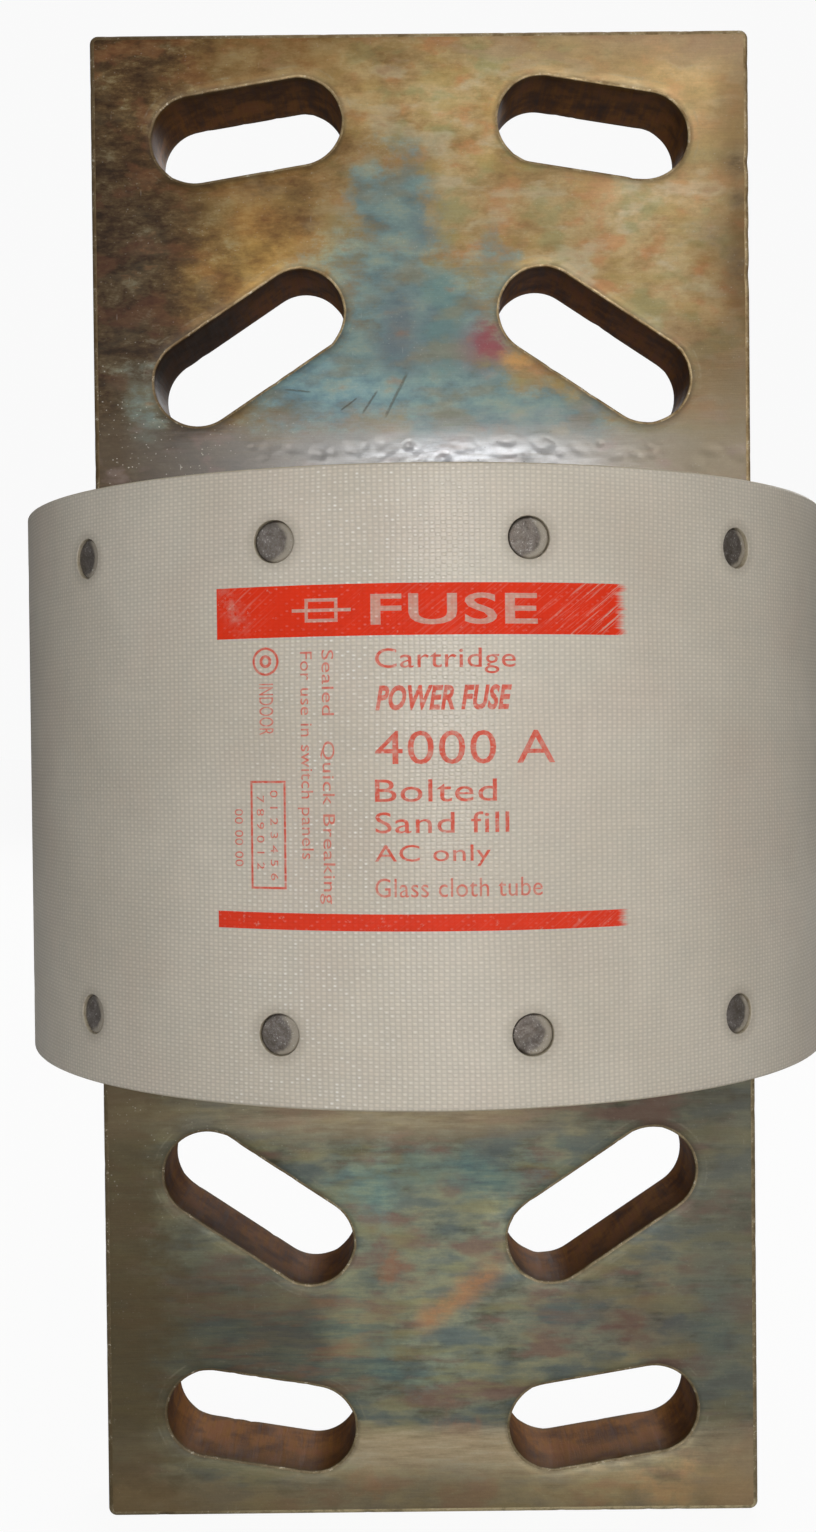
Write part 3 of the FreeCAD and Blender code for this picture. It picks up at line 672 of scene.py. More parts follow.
def make_upper_skin(name):
    """Silver plate tarnished gold, brown and blue, with untarnished metal at its foot and a painted
    reflection on it.
    """
    g = new_graph(name)
    f = blade_fields(g, False)
    x, z, xw, zw, front = f.x, f.z, f.warped_x, f.warped_z, f.front
    mid, fine, hue, hue2, smear = f.mid, f.fine, f.hue, f.hue2, f.smear
    mix = f.big * 0.5 + mid * 0.38 + fine * 0.12
    colour = mix.ramp({
        0.36: (136, 106, 62), 0.44: (164, 134, 86), 0.50: (182, 154, 106),
        0.56: (192, 168, 122), 0.64: (180, 164, 130),
    })
    colour = washes(colour, (
        (hue, 0.51, 0.64, 0.62, (192, 132, 84)),
        (hue, 0.49, 0.37, 0.62, (150, 148, 100)),
        (hue2, 0.52, 0.64, 0.5, (204, 192, 160)),
        (hue2, 0.47, 0.37, 0.45, (172, 146, 84)),
    ))
    # Brown, then almost black, towards the left edge of the front; scattered on the back.
    leftness = xw + (1.0 - front) * ((f.big - 0.42) * 160.0)
    brown = mix.ramp({0.4: (96, 64, 32), 0.5: (138, 104, 56), 0.6: (160, 132, 84)})
    colour = colour.tint(leftness.smooth(6.0, -26.0, 0.0, 0.86), brown)
    black = (mid * 0.6 + fine * 0.4).ramp({
        0.38: (40, 27, 17), 0.47: (62, 44, 27), 0.54: (82, 64, 42), 0.62: (108, 94, 70),
    })
    black = black.tint(hue.smooth(0.52, 0.62, 0.0, 0.5), (98, 60, 42))
    colour = colour.tint((leftness * 0.6 + x * 0.4).smooth(-30.0, -50.0, 0.0, 0.95), black)
    # Duller metal lies round the blue stain.
    land = total(g.blots(xw, zw, BLUE_STAIN)) + g.spot(x, zw, -51.0, 69.0, 5.0, 9.0) * 0.55
    dull = land.ruffle(hue2, 1.2).smooth(0.0, 0.6)
    colour = colour.tint(dull * front * 0.5, (150, 142, 112))
    # The blue stain between the slots, deeper and greener in places.
    land = land.ruffle(mid, 1.5).ruffle(fine, 0.8)
    blue = land.smooth(0.16, 1.0) * hue2.smooth(0.36, 0.52, 0.62, 1.0)
    blue_colour = (mid * 0.5 + hue2 * 0.5).ramp({
        0.38: (84, 108, 114), 0.46: (106, 134, 138), 0.54: (128, 153, 150), 0.63: (154, 162, 144),
    })
    xs = x.ruffle(f.warp.split()[1], 9.0)
    zs = z.ruffle(mid, 12.0)
    deep = total(g.blots(xs, zs, DEEP_BLUE)).ruffle(mid, 1.0).ruffle(fine, 0.9)
    blue_colour = blue_colour.tint(deep.smooth(0.1, 1.1, 0.0, 0.72), (92, 104, 118))
    jade = g.spot(x, z, 4.0, 86.0, 5.0, 13.0).ruffle(hue, 3.0)
    blue_colour = blue_colour.tint(jade.smooth(0.3, 0.9, 0.0, 0.6), (104, 142, 140))
    colour = colour.tint(blue * front * 0.95, blue_colour)
    # Plum, rose and amber beside the right inner slot.
    plum = g.spot(xs, zs, 11.5, 79.0, 5.6, 5.2).smooth(0.1, 1.0)
    colour = colour.tint(plum * front * 0.7, (140, 104, 112))
    rose = g.spot(xs, zs, 12.5, 79.5, 3.0, 3.2).ruffle(fine, 0.8).smooth(0.15, 1.0)
    colour = colour.tint(rose * front * 0.8, (150, 70, 80))
    amber = g.spot(xs, zs, 18.0, 77.0, 4.6, 2.6).ruffle(fine, 0.6).smooth(0.15, 1.0)
    colour = colour.tint(amber * front * 0.85, (206, 156, 92))
    # Brighter towards the right of the end, a painted reflection of brighter surroundings; duller
    # down the right edge.
    light = xw.smooth(6.0, 34.0) * zw.smooth(96.0, 116.0)
    colour = colour.tint(light * front * 0.42, (226, 194, 142))
    rim = x.ruffle(mid, 8.0).smooth(51.0, 59.5)
    colour = colour.tint(rim * front * 0.5, (132, 108, 72))
    low = x.smooth(36.0, 54.0) * zw.smooth(90.0, 72.0)
    colour = colour.tint(low * front * 0.7, (142, 128, 104))
    colour = front_clouds(g, f, colour, UPPER_CLOUDS)
    # Rusty blooms near the end, and a pale right corner.
    rust = (hue2 + z.fit(128.0, 135.5, -0.12, 0.05)).smooth(0.5, 0.6)
    colour = colour.tint(rust * 0.32, (168, 108, 62))
    pale = (x * 0.01 + (z - 126.0) * 0.05).smooth(0.55, 0.95)
    colour = colour.tint(pale * front * 0.5, (194, 166, 136))
    # Dark stains near the right edge.
    stain = reduce(Wire.max, g.blots(x, z, EDGE_STAINS)) * fine.fit(0.35, 0.6, 0.4, 1.0)
    colour = colour.tint(stain * front * 0.75, (84, 68, 52))
    # Grey, rubbed metal beside the tube, brightest in the middle, where untarnished metal carries a
    # painted reflection.
    foot = z.ruffle(smear, 10.0).ruffle(f.warp_z, 8.0).smooth(69.5, 60.5)
    grey = x.fit(-56.0, -22.0).between((100, 86, 68), (160, 163, 164))
    grey = grey.tint(x.fit(20.0, 52.0), (158, 146, 126))
    grey = grey.tint(hue.smooth(0.54, 0.66, 0.0, 0.4), (166, 148, 146))
    colour = colour.tint(foot * 0.8, grey)
    line = z.ruffle(smear, 4.0)
    bare_and_sheen = line.smooth(65.5, 59.5) * g.hump(x, 7.0, 23.0, power=1.2) * front
    bare_and_sheen = bare_and_sheen * smear.fit(0.36, 0.56, 0.45, 1.0)
    colour = colour.tint(bare_and_sheen * 0.92, (216, 220, 226))
    pits = f.p.times((0.8, 1.0, 1.2)).cells().fit(0.2, 0.1) * mid.fit(0.5, 0.6)
    pits = pits * line.fit(66.0, 61.0) * front * g.hump(x, 9.0, 30.0)
    colour = colour.tint(pits * 0.65, (104, 100, 98))
    marks = score_marks(x, z, fine) * front
    colour = colour.tint(marks * fine.fit(0.36, 0.5, 0.3, 1.0) * 0.55, (92, 82, 62))
    return blade_finish(g, f, colour, False, marks, bare_and_sheen)


def make_lower_skin(name):
    """Silver plate tarnished olive, slate and teal."""
    g = new_graph(name)
    f = blade_fields(g, True)
    x, z, xw, zw, front = f.x, f.z, f.warped_x, f.warped_z, f.front
    mid, fine, hue, hue2, smear = f.mid, f.fine, f.hue, f.hue2, f.smear
    colour = (f.big * 0.42 + mid * 0.36 + smear * 0.22).ramp({
        0.37: (84, 80, 64), 0.44: (110, 112, 96), 0.50: (134, 138, 119),
        0.56: (154, 153, 124), 0.63: (158, 146, 114),
    })
    colour = washes(colour, (
        (hue, 0.5, 0.62, 0.72, (136, 104, 92)),
        (hue, 0.5, 0.38, 0.66, (98, 112, 114)),
        (hue2, 0.5, 0.63, 0.6, (152, 146, 104)),
    ))
    land = total(g.blots(xw, zw, TEAL_STAIN)) + g.spot(x, zw, 53.0, 104.0, 6.0, 18.0) * 0.7
    teal = land.ruffle(mid, 1.5).ruffle(smear, 0.8).smooth(0.22, 1.1)
    teal_colour = (mid * 0.5 + smear * 0.5).ramp(
        {0.4: (84, 118, 124), 0.5: (108, 138, 132), 0.6: (134, 150, 132)}
    )
    colour = colour.tint(teal * front * 0.85, teal_colour)
    # A dark slate belt on the left, and darker, browner metal towards that edge.
    belt = xw.smooth(0.0, -22.0) * g.spot(0.0, zw, 0.0, 103.0, 1.0, 12.0, power=1.4)
    slate = hue2.smooth(0.45, 0.55).between((78, 88, 86), (112, 84, 72))
    slate = slate.tint(smear.smooth(0.42, 0.58, 0.0, 0.6), (104, 104, 84))
    colour = colour.tint(belt * front * 0.8, slate)
    colour = colour.tint(xw.smooth(-12.0, -50.0, 0.0, 0.45), (92, 86, 64))
    colour = colour.tint(x.ruffle(mid, 26.0).smooth(-40.0, -56.0, 0.0, 0.8), (96, 82, 54))
    # A reddish patch, then shade, on the right.
    red = g.spot(x, z, 24.0, 100.0, 9.0, 4.0) * smear.smooth(0.4, 0.6)
    colour = colour.tint(red * front * 0.5, (134, 104, 92))
    shade = x.ruffle(mid, 14.0).smooth(38.0, 54.0)
    colour = colour.tint(shade * front * 0.55, (104, 100, 86))
    # A slanting orange streak and small coppery spots.
    slant = (z - (100.0 - (x - -2.0) * 0.62) * 1.0).ruffle(f.warp_z, 9.0)
    streak = g.hump(slant, 0.0, 2.1) * (x.smooth(-5.0, 0.0) * x.smooth(15.0, 10.0))
    streak = streak * fine.fit(0.3, 0.55, 0.5, 1.0)
    colour = colour.tint(streak * front * 0.7, (190, 132, 86))
    spots = reduce(Wire.max, g.blots(xw, zw, COPPER_SPOTS))
    colour = colour.tint(spots * front * 0.45, (176, 112, 78))
    # Tan metal beside the tube, between the outer slots and along the end.
    tan = smear.ramp({0.36: (182, 162, 130), 0.5: (198, 178, 144), 0.64: (206, 190, 158)})
    near = z.ruffle(smear, 5.0).smooth(69.0, 63.5) * x.fit(-52.0, -14.0, 0.15, 1.0)
    near = near * x.fit(34.0, 8.0, 0.0, 1.0)
    band = z.ruffle(smear, 4.0).smooth(118.5, 123.0) * z.ruffle(smear, 6.0).smooth(134.0, 125.0)
    band = band * (x.smooth(-34.0, -8.0, 0.1, 1.0) * x.smooth(58.0, 22.0, 0.25, 1.0))
    colour = colour.tint((near * 0.62).max(band * 0.88), tan)
    end = z.ruffle(mid, 10.0).smooth(127.0, 133.0)
    colour = colour.tint(end * 0.6, (140, 118, 84))
    colour = front_clouds(g, f, colour, LOWER_CLOUDS)
    right = x.smooth(46.0, 56.0) * z.smooth(118.0, 128.0)
    colour = colour.tint(right * front * 0.6, (172, 146, 110))
    return blade_finish(g, f, colour, True)


def make_edge_skin(name, lower):
    """The rounded edges, where the tarnish is worn to light, uneven metal; on the lower blade a
    painted highlight runs along the bottom edge.
    """
    g = new_graph(name)
    p = g.place()
    wear = p.scale(0.35).noise(5.0, 0.7)
    grain = p.scale(1.9).noise(4.0, 0.7)
    x, y, z = p.split()
    dull, light, left = (146, 120, 80), (198, 174, 132), (86, 66, 42)
    if lower:
        dull, light, left = (118, 102, 72), (160, 144, 110), (92, 76, 50)
    colour = wear.fit(0.38, 0.62).between(dull, light)
    if lower:
        # A painted highlight line along the bottom edge, where the blade stands on its end.
        foot = z.fit(-134.0, -135.4) * wear.fit(0.36, 0.52, 0.4, 1.0)
        colour = colour.tint(foot, (214, 198, 158))
    dark = x.smooth(-16.0, -48.0) * y.math("LESS_THAN", 0.0)
    colour = colour.tint(dark * 0.7, left)
    nick = grain.fit(0.56, 0.66) * wear.fit(0.48, 0.56)
    colour = colour.tint(nick * 0.8, (236, 228, 206))
    return g.finish(
        Base_Color=colour.tint(grain.fit(0.42, 0.3, 0.0, 0.5), (72, 56, 38)),
        Metallic=0.25 if lower else 0.5,
        Roughness=grain.fit(0.35, 0.65, 0.36, 0.55),
        Normal=(grain * 0.6 + wear * 0.4).bump(0.07),
    )


def make_wall_skin(name, lower):
    """Slot walls: brown copper, marked through the blade's thickness, darker to the front."""
    g = new_graph(name)
    p = g.place()
    x, y, z = p.split()
    run = p.times((1.3, 0.1, 1.3)).noise(5.0, 0.65)
    cloud = p.times((0.16, 0.16, 0.16)).noise(4.0, 0.6)
    stops = {0.34: (68, 38, 10), 0.46: (110, 68, 20), 0.56: (144, 96, 34), 0.68: (164, 124, 60)}
    if lower:
        stops = {0.34: (82, 44, 8), 0.46: (122, 74, 18), 0.56: (152, 100, 34), 0.68: (174, 130, 62)}
    colour = (run * 0.35 + cloud * 0.65).ramp(stops)
    colour = colour.tint(cloud.fit(0.52, 0.64, 0.0, 0.5), (128, 62, 26))
    deep = y.ruffle(cloud, 8.0).smooth(4.0, -9.0)
    colour = colour.tint(deep * (0.56 if lower else 0.5), (54, 30, 8))
    lip = abs(y).smooth(HALF_THICK - 2.2, HALF_THICK - 0.5)
    colour = colour.tint(lip * 0.4, (104, 92, 58))
    if not lower:
        # Almost black in the left inner slot: painted shade on the walls that face away from the
        # light.
        painted_slot_shade = x.smooth(-26.0, -40.0) * z.smooth(96.0, 84.0)
        colour = colour.tint(painted_slot_shade * 0.75, (34, 24, 14))
    grain = p.scale(2.2).noise(3.0, 0.7)
    return g.finish(
        Base_Color=colour,
        Metallic=0.2,
        Roughness=run.fit(0.3, 0.7, 0.5, 0.66),
        Normal=(run * 0.7 + grain * 0.3).bump(0.08),
        Specular_IOR_Level=0.12,
    )


def make_side_skin(name, lower):
    """The blade's narrow sides, its end and its tenon, brushed along the length."""
    g = new_graph(name)
    p = g.place()
    run = p.times((0.3, 1.9, 0.12)).noise(5.0, 0.65)
    cloud = p.times((0.05, 0.12, 0.05)).noise(5.0, 0.6)
    stops = {
        0.34: (108, 82, 52), 0.46: (152, 126, 86), 0.56: (182, 160, 118), 0.7: (160, 148, 122),
    }
    if lower:
        stops = {
            0.34: (82, 66, 46), 0.46: (122, 104, 74), 0.56: (146, 132, 100), 0.7: (118, 122, 104),
        }
    colour = (run * 0.35 + cloud * 0.65).ramp(stops)
    grain = p.scale(2.4).noise(3.0, 0.7)
    colour = colour.shade((run - 0.5) * 0.4 + (grain - 0.5) * 0.25 + 1.0)
    stain = p.times((0.1, 0.2, 0.12)).noise(4.0, 0.65).fit(0.58, 0.7)
    return g.finish(
        Base_Color=colour.tint(stain * 0.6, (74, 60, 44)),
        Metallic=0.78,
        Roughness=run.fit(0.3, 0.7, 0.34, 0.52),
        Normal=(run * 0.6 + grain * 0.3).bump(0.05),
    )


# ------------------------------------------------------------- other materials
def make_pin_skin(name):
    """Dull steel ends, with light and shade painted on: a pale crescent on one side of each, a dark
    outline and a darker left edge.
    """
    g = new_graph(name)
    p = g.place()
    x, y, z = p.split()
    u, w = g.from_pin(g.turn(x, y) * (1.0 / PIN_STEP), z)
    mottle = p.scale(0.8).noise(5.0, 0.65)
    grain = p.scale(3.4).noise(4.0, 0.7)
    each = p.scale(0.06).noise(2.0)
    colour = (mottle * 0.45 + grain * 0.3 + each * 0.25).ramp({
        0.36: (82, 74, 64), 0.47: (112, 104, 97), 0.56: (132, 125, 120), 0.68: (150, 144, 138),
    })
    # A pale crescent on the right of each end, a painted highlight for the lit slope of the hole's
    # mouth, and the dark outline it ends in, a painted shade.
    d = g.hypot(u + 0.75, w - 0.12).ruffle(mottle, 0.9)
    outline = d.smooth(2.1, 2.45) * d.smooth(2.8, 2.5)
    colour = colour.tint(outline * 0.3, (70, 64, 58))
    lit_crescent = d.smooth(2.2, 3.0) * (u - w * 0.25).smooth(-0.8, 0.9)
    colour = colour.tint(lit_crescent * 0.9, (166, 157, 142))
    # Painted shade along the left edge of each end.
    edge = g.hypot(u, w).smooth(2.75, 3.05)
    left = (u - w * 0.4).smooth(1.2, -1.6)
    colour = colour.tint(edge * left * 0.5, (62, 56, 50))
    # Painted glints: small bright highlights scattered over the steel.
    pin_glint = grain.fit(0.6, 0.68) * mottle.fit(0.46, 0.54)
    return g.finish(
        Base_Color=colour.tint(pin_glint * 0.8, (238, 236, 232)),
        Metallic=(1.0 - lit_crescent) * 0.55,
        Roughness=mottle.fit(0.3, 0.7, 0.3, 0.5),
        Normal=(mottle * 0.6 + grain * 0.4).bump(0.16),
    )


def make_turned_copper(name):
    """Copper faced on a lathe: fine rings about the tube's axis under uneven tarnish."""
    g = new_graph(name)
    p = g.place()
    x, y, z = p.split()
    r = g.hypot(x, y)
    ring_pitch = 0.32
    wobble = p.scale(0.12).noise()
    ring = ((r + wobble * 0.3) * (2 * math.pi / ring_pitch)).math("SINE")
    groove = g.join(r * 1.9, 0.0, 0.0).noise(4.0, 0.7)
    tarnish = p.scale(0.08).noise(5.0, 0.62)
    colour = (tarnish * 0.7 + groove * 0.3).ramp(
        {0.34: (104, 70, 46), 0.5: (168, 112, 78), 0.66: (196, 142, 104)}
    )
    grain = p.scale(2.4).noise(3.0, 0.7)
    return g.finish(
        Base_Color=colour.shade(ring * 0.05 + 1.0),
        Metallic=0.85,
        Roughness=groove.fit(0.3, 0.7, 0.3, 0.48),
        Normal=(ring * 0.12 + groove * 0.6 + grain * 0.25).bump(0.03),
    )


def make_plain(name, dark, light, metallic=0.0, rough=(0.4, 0.6), scale=1.0, depth=0.05,
               stretch=(1, 1, 1)):
    """Two mottled tones with grain."""
    g = new_graph(name)
    p = g.place().times(stretch)
    mottle = p.noise(5.0, 0.65, scale)
    fine = p.noise(3.0, 0.7, scale * 5.0)
    return g.finish(
        Base_Color=(mottle * 0.6 + fine * 0.4).fit(0.35, 0.65).between(dark, light),
        Metallic=metallic,
        Roughness=fine.fit(0.3, 0.7, *rough),
        Normal=(mottle * 0.4 + fine * 0.6).bump(depth),
    )


# ------------------------------------------------------------------------ tube
SKIN, CUT, BORE = range(3)  # the tube's material slots
HOLE_SPREAD = (0.0, 0.035, 0.08, 0.15, 0.25, 0.38, 0.54, 0.76, 1.0)  # hole to patch rim


def on_skin(s, z, radius=R_OUT):
    """A point on the tube: s runs round it in millimetres from the front, towards +X."""
    a = s / R_OUT
    return (radius * math.sin(a), -radius * math.cos(a), z)


def by_pin(middle, across, z, out):
    """A point beside a pin at the turn middle: across to its side, out along its axis."""
    sin, cos = math.sin(middle), math.cos(middle)
    return (sin * out + cos * across, -cos * out + sin * across, z)


def hole_patch(middle, centre_z, rim):
    """Rings from the patch's rim inside the tube, out through the hole to its rim outside."""
    angles = [math.atan2(dz, ds) for ds, dz in rim]

    def spread_ring(radius, hole, t):
        ring = []
        for a, (ds, dz) in zip(angles, rim):
            s = (1 - t) * (R_OUT * math.asin(hole * math.cos(a) / radius)) + t * ds
            w = (1 - t) * (hole * math.sin(a)) + t * dz
            ring.append(on_skin(middle * R_OUT + s, centre_z + w, radius))
        return ring

    def bore_ring(hole, out_at):
        ring = []
        for a in angles:
            u = hole * math.cos(a)
            ring.append(by_pin(middle, u, centre_z + hole * math.sin(a), out_at(u)))
        return ring

    def straight(part):
        def out_at(u):
            low = math.sqrt(R_IN**2 - u * u)
            high = math.sqrt(R_OUT**2 - u * u) - HOLE_LIP
            return low + (high - low) * part

        return bore_ring(HOLE_R, out_at)

    def mouth(beta):
        deep = HOLE_LIP * (1 - math.cos(beta))
        hole = HOLE_R + HOLE_LIP * (1 - math.sin(beta))
        return bore_ring(hole, lambda u: math.sqrt(R_OUT**2 - u * u) - deep)

    rings = [spread_ring(R_IN, HOLE_R, t) for t in reversed(HOLE_SPREAD)]
    rings += [straight(part) for part in (0.25, 0.5, 0.75)]
    rings += [mouth(math.pi / 2 * (1 - j / 5)) for j in range(6)]
    rings += [spread_ring(R_OUT, HOLE_R + HOLE_LIP, t) for t in HOLE_SPREAD[1:]]
    return rings


def end_profile():
    """(radius, z, material slot) over an end: outer edge, cut face, inner edge."""
    profile = []
    for j in range(6):
        beta = math.pi / 2 * j / 5
        r = R_OUT - TUBE_EDGE * (1 - math.cos(beta))
        z = HALF_TUBE - TUBE_EDGE * (1 - math.sin(beta))
        profile.append((r, z, SKIN if j < 2 else CUT))
    face = R_OUT - TUBE_EDGE - R_IN - INNER_EDGE
    for j in range(1, 8):
        profile.append((R_OUT - TUBE_EDGE - face * j / 7, HALF_TUBE, CUT))
    for j in range(1, 4):
        beta = math.pi / 2 * j / 3
        r = R_IN + INNER_EDGE * (1 - math.sin(beta))
        profile.append((r, HALF_TUBE - INNER_EDGE * (1 - math.cos(beta)), CUT))
    profile.append((R_IN, HALF_TUBE - TUBE_EDGE, CUT))
    return profile


def build_tube():
    b = Builder()
    # Each hole has a patch of skin to itself; this is its rim, from the hole's centre.
    n_round, n_up = 24, 14
    half_s = math.pi * R_OUT / PIN_COUNT
    half_z = HALF_TUBE - TUBE_EDGE - PIN_Z
    rim = [(-half_s + 2 * half_s * i / n_round, -half_z) for i in range(n_round)]
    rim += [(half_s, -half_z + 2 * half_z * i / n_up) for i in range(n_up)]
    rim += [(half_s - 2 * half_s * i / n_round, half_z) for i in range(n_round)]
    rim += [(-half_s, half_z - 2 * half_z * i / n_up) for i in range(n_up)]
    kinds = [CUT] * 9 + [BORE] * 5 + [SKIN] * 12
    for up in (1, -1):
        for k in range(PIN_COUNT):
            b.rings(hole_patch(PIN_TURN + k * PIN_STEP, up * PIN_Z, rim), kinds=kinds)
    # Plain band between the two rings of holes, outside and inside.
    columns = PIN_COUNT * n_round
    start = PIN_TURN * R_OUT - half_s
    steps = [start + 2 * half_s * PIN_COUNT * i / columns for i in range(columns)]
    low = PIN_Z - half_z
    rows = 36
    for radius, kind in ((R_OUT, SKIN), (R_IN, CUT)):
        levels = [-low + 2 * low * j / rows for j in range(rows + 1)]
        b.rings([[on_skin(s, z, radius) for s in steps] for z in levels], kind=kind)
    profile = end_profile()
    for up in (1, -1):
        rings = [[on_skin(s, up * z, r) for s in steps] for r, z, _ in profile]
        b.rings(rings, kinds=[kind for _, _, kind in profile])
    materials = [
        make_cloth("glass_cloth_laminate"),
        make_tube_end("laminate_cut_face"),
        make_plain("laminate_hole_wall", (150, 138, 116), (196, 186, 166),
                   rough=(0.5, 0.7), scale=0.9),
    ]
    ob = b.object("laminate_tube", materials)
    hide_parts("casing_tube")


# ------------------------------------------------------------------------ pins
def pin_profile(top):
    """(radius, distance from the tube's axis) of a pin, and where its outer end begins."""
    tip, outer_round = 0.6, 0.5
    profile = [(0.0, PIN_IN), (1.4, PIN_IN), (PIN_R - tip, PIN_IN)]
    for j in range(1, 5):
        beta = math.pi / 2 * j / 4
        profile.append((PIN_R - tip + tip * math.sin(beta), PIN_IN + tip * (1 - math.cos(beta))))
    for part in (0.33, 0.66):
        profile.append((PIN_R, PIN_IN + tip + (top - PIN_IN - 2 * tip) * part))
    for j in range(7):
        beta = math.pi / 2 * j / 6
        radius = PIN_R - outer_round * (1 - math.cos(beta))
        profile.append((radius, top - outer_round * (1 - math.sin(beta))))
    end = len(profile)
    for radius in (2.3, 1.95, 1.55, 1.15, 0.75, 0.38, 0.0):
        # The outer end is a little domed.
        profile.append((radius, top + 0.1 * (1 - (radius / 2.63) ** 2)))
    return profile, end - 5


def build_pins(name, node, up, seed, material):
    rng = random.Random(seed)
    b = Builder()
    count = 44
    for k in range(PIN_COUNT):
        middle = PIN_TURN + k * PIN_STEP
        profile, worn_from = pin_profile(PIN_OUT - rng.uniform(0.0, 0.25))
        tilt_u, tilt_w = rng.uniform(-0.02, 0.02), rng.uniform(-0.03, 0.03)
        # Dents in the outer end: (across, up, radius, depth).
        dents = [
            (rng.uniform(-2.2, 2.2), rng.uniform(-2.2, 2.2),
             rng.uniform(0.4, 1.0), rng.uniform(0.03, 0.12))
            for _ in range(7)
        ]
        rings = []
        for j, (radius, distance) in enumerate(profile):
            ring = []
            for i in range(count):
                a = 2 * math.pi * i / count
                u, w = radius * math.cos(a), radius * math.sin(a)
                out = distance
                if j >= worn_from:
                    out += tilt_u * u + tilt_w * w
                    for dent_u, dent_w, dent_r, depth in dents:
                        d2 = ((u - dent_u) ** 2 + (w - dent_w) ** 2) / (dent_r * dent_r)
                        out -= depth * math.exp(-d2 * 1.5)
                ring.append(by_pin(middle, u, up * PIN_Z + w, out))
            rings.append(ring)
        b.rings(rings)
    ob = b.object(name, [material])
    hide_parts(node)


# ---------------------------------------------------------------------- blades
# Blades are made end up, in (x, z), and the lower one is mirrored.
FLAT, EDGE, WALL, SIDE = range(4)  # a blade's material slots
EDGE_STEPS, THROUGH_STEPS = 5, 8  # over each rounded edge, and through the thickness


def slot_path(a, b, spacing=0.8):
    """Points and normals round a slot, the normals pointing into the metal."""
    a, b = np.array(a, float), np.array(b, float)
    d = b - a
    length = np.linalg.norm(d)
    d /= length
    n = np.array((-d[1], d[0]))
    straight = max(8, round(length / spacing))
    arc = round(math.pi * SLOT_R / spacing)
    out = []
    for start, end, d, n in ((a, b, d, n), (b, a, -d, -n)):
        for i in range(straight):
            out.append((start + d * length * i / straight + n * SLOT_R, n))
        for i in range(arc):
            t = math.pi * i / arc
            m = n * math.cos(t) + d * math.sin(t)
            out.append((end + m * SLOT_R, m))
    return out


def plate_path(spacing=0.9):
    """The blade's outline from its right foot over the end to its left, with outward normals."""
    r, wide, top, foot = PLAN_ROUND, HALF_WIDE, HALF_LONG, HALF_TUBE
    out = []

    def run(p, q, normal, last=False):
        p, q = np.array(p, float), np.array(q, float)
        k = max(2, round(np.linalg.norm(q - p) / spacing))
        for i in range(k + 1 if last else k):
            out.append((p + (q - p) * i / k, np.array(normal, float)))

    def corner(x, z, start):
        for i in range(6):
            t = start + math.pi / 2 * i / 6
            m = np.array((math.cos(t), math.sin(t)))
            out.append((np.array((x, z)) + m * r, m))

    run((wide, foot), (wide, top - r), (1.0, 0.0))
    corner(wide - r, top - r, 0.0)
    run((wide - r, top), (-wide + r, top), (0.0, 1.0))
    corner(-wide + r, top - r, math.pi / 2)
    run((-wide, top - r), (-wide, foot), (-1.0, 0.0), last=True)
    return out


def edge_rings(path, radius, sign):
    """Rings from the front face round the edge, through the wall and round to the back."""
    rings = []
    for face, order in ((-1, range(EDGE_STEPS + 1)), (1, range(EDGE_STEPS, -1, -1))):
        for k in order:
            beta = math.pi / 2 * k / EDGE_STEPS
            off = sign * radius * (1 - math.sin(beta))
            y = face * (HALF_THICK - radius * (1 - math.cos(beta)))
            rings.append([(p[0] + n[0] * off, y, p[1] + n[1] * off) for p, n in path])
        if face < 0:
            for j in range(1, THROUGH_STEPS):
                y = -(HALF_THICK - radius) * (1 - 2 * j / THROUGH_STEPS)
                rings.append([(p[0], y, p[1]) for p, _ in path])
    return rings


def edge_kinds(wall):
    return [EDGE] * EDGE_STEPS + [wall] * THROUGH_STEPS + [EDGE] * EDGE_STEPS


def off_slots(x, z):
    """Distance from the nearest slot's centre line."""
    found = []
    for (ax, az), (bx, bz) in SLOTS:
        dx, dz = bx - ax, bz - az
        t = np.clip(((x - ax) * dx + (z - az) * dz) / (dx * dx + dz * dz), 0, 1)
        found.append(np.hypot(x - ax - t * dx, z - az - t * dz))
    return np.minimum.reduce(found)


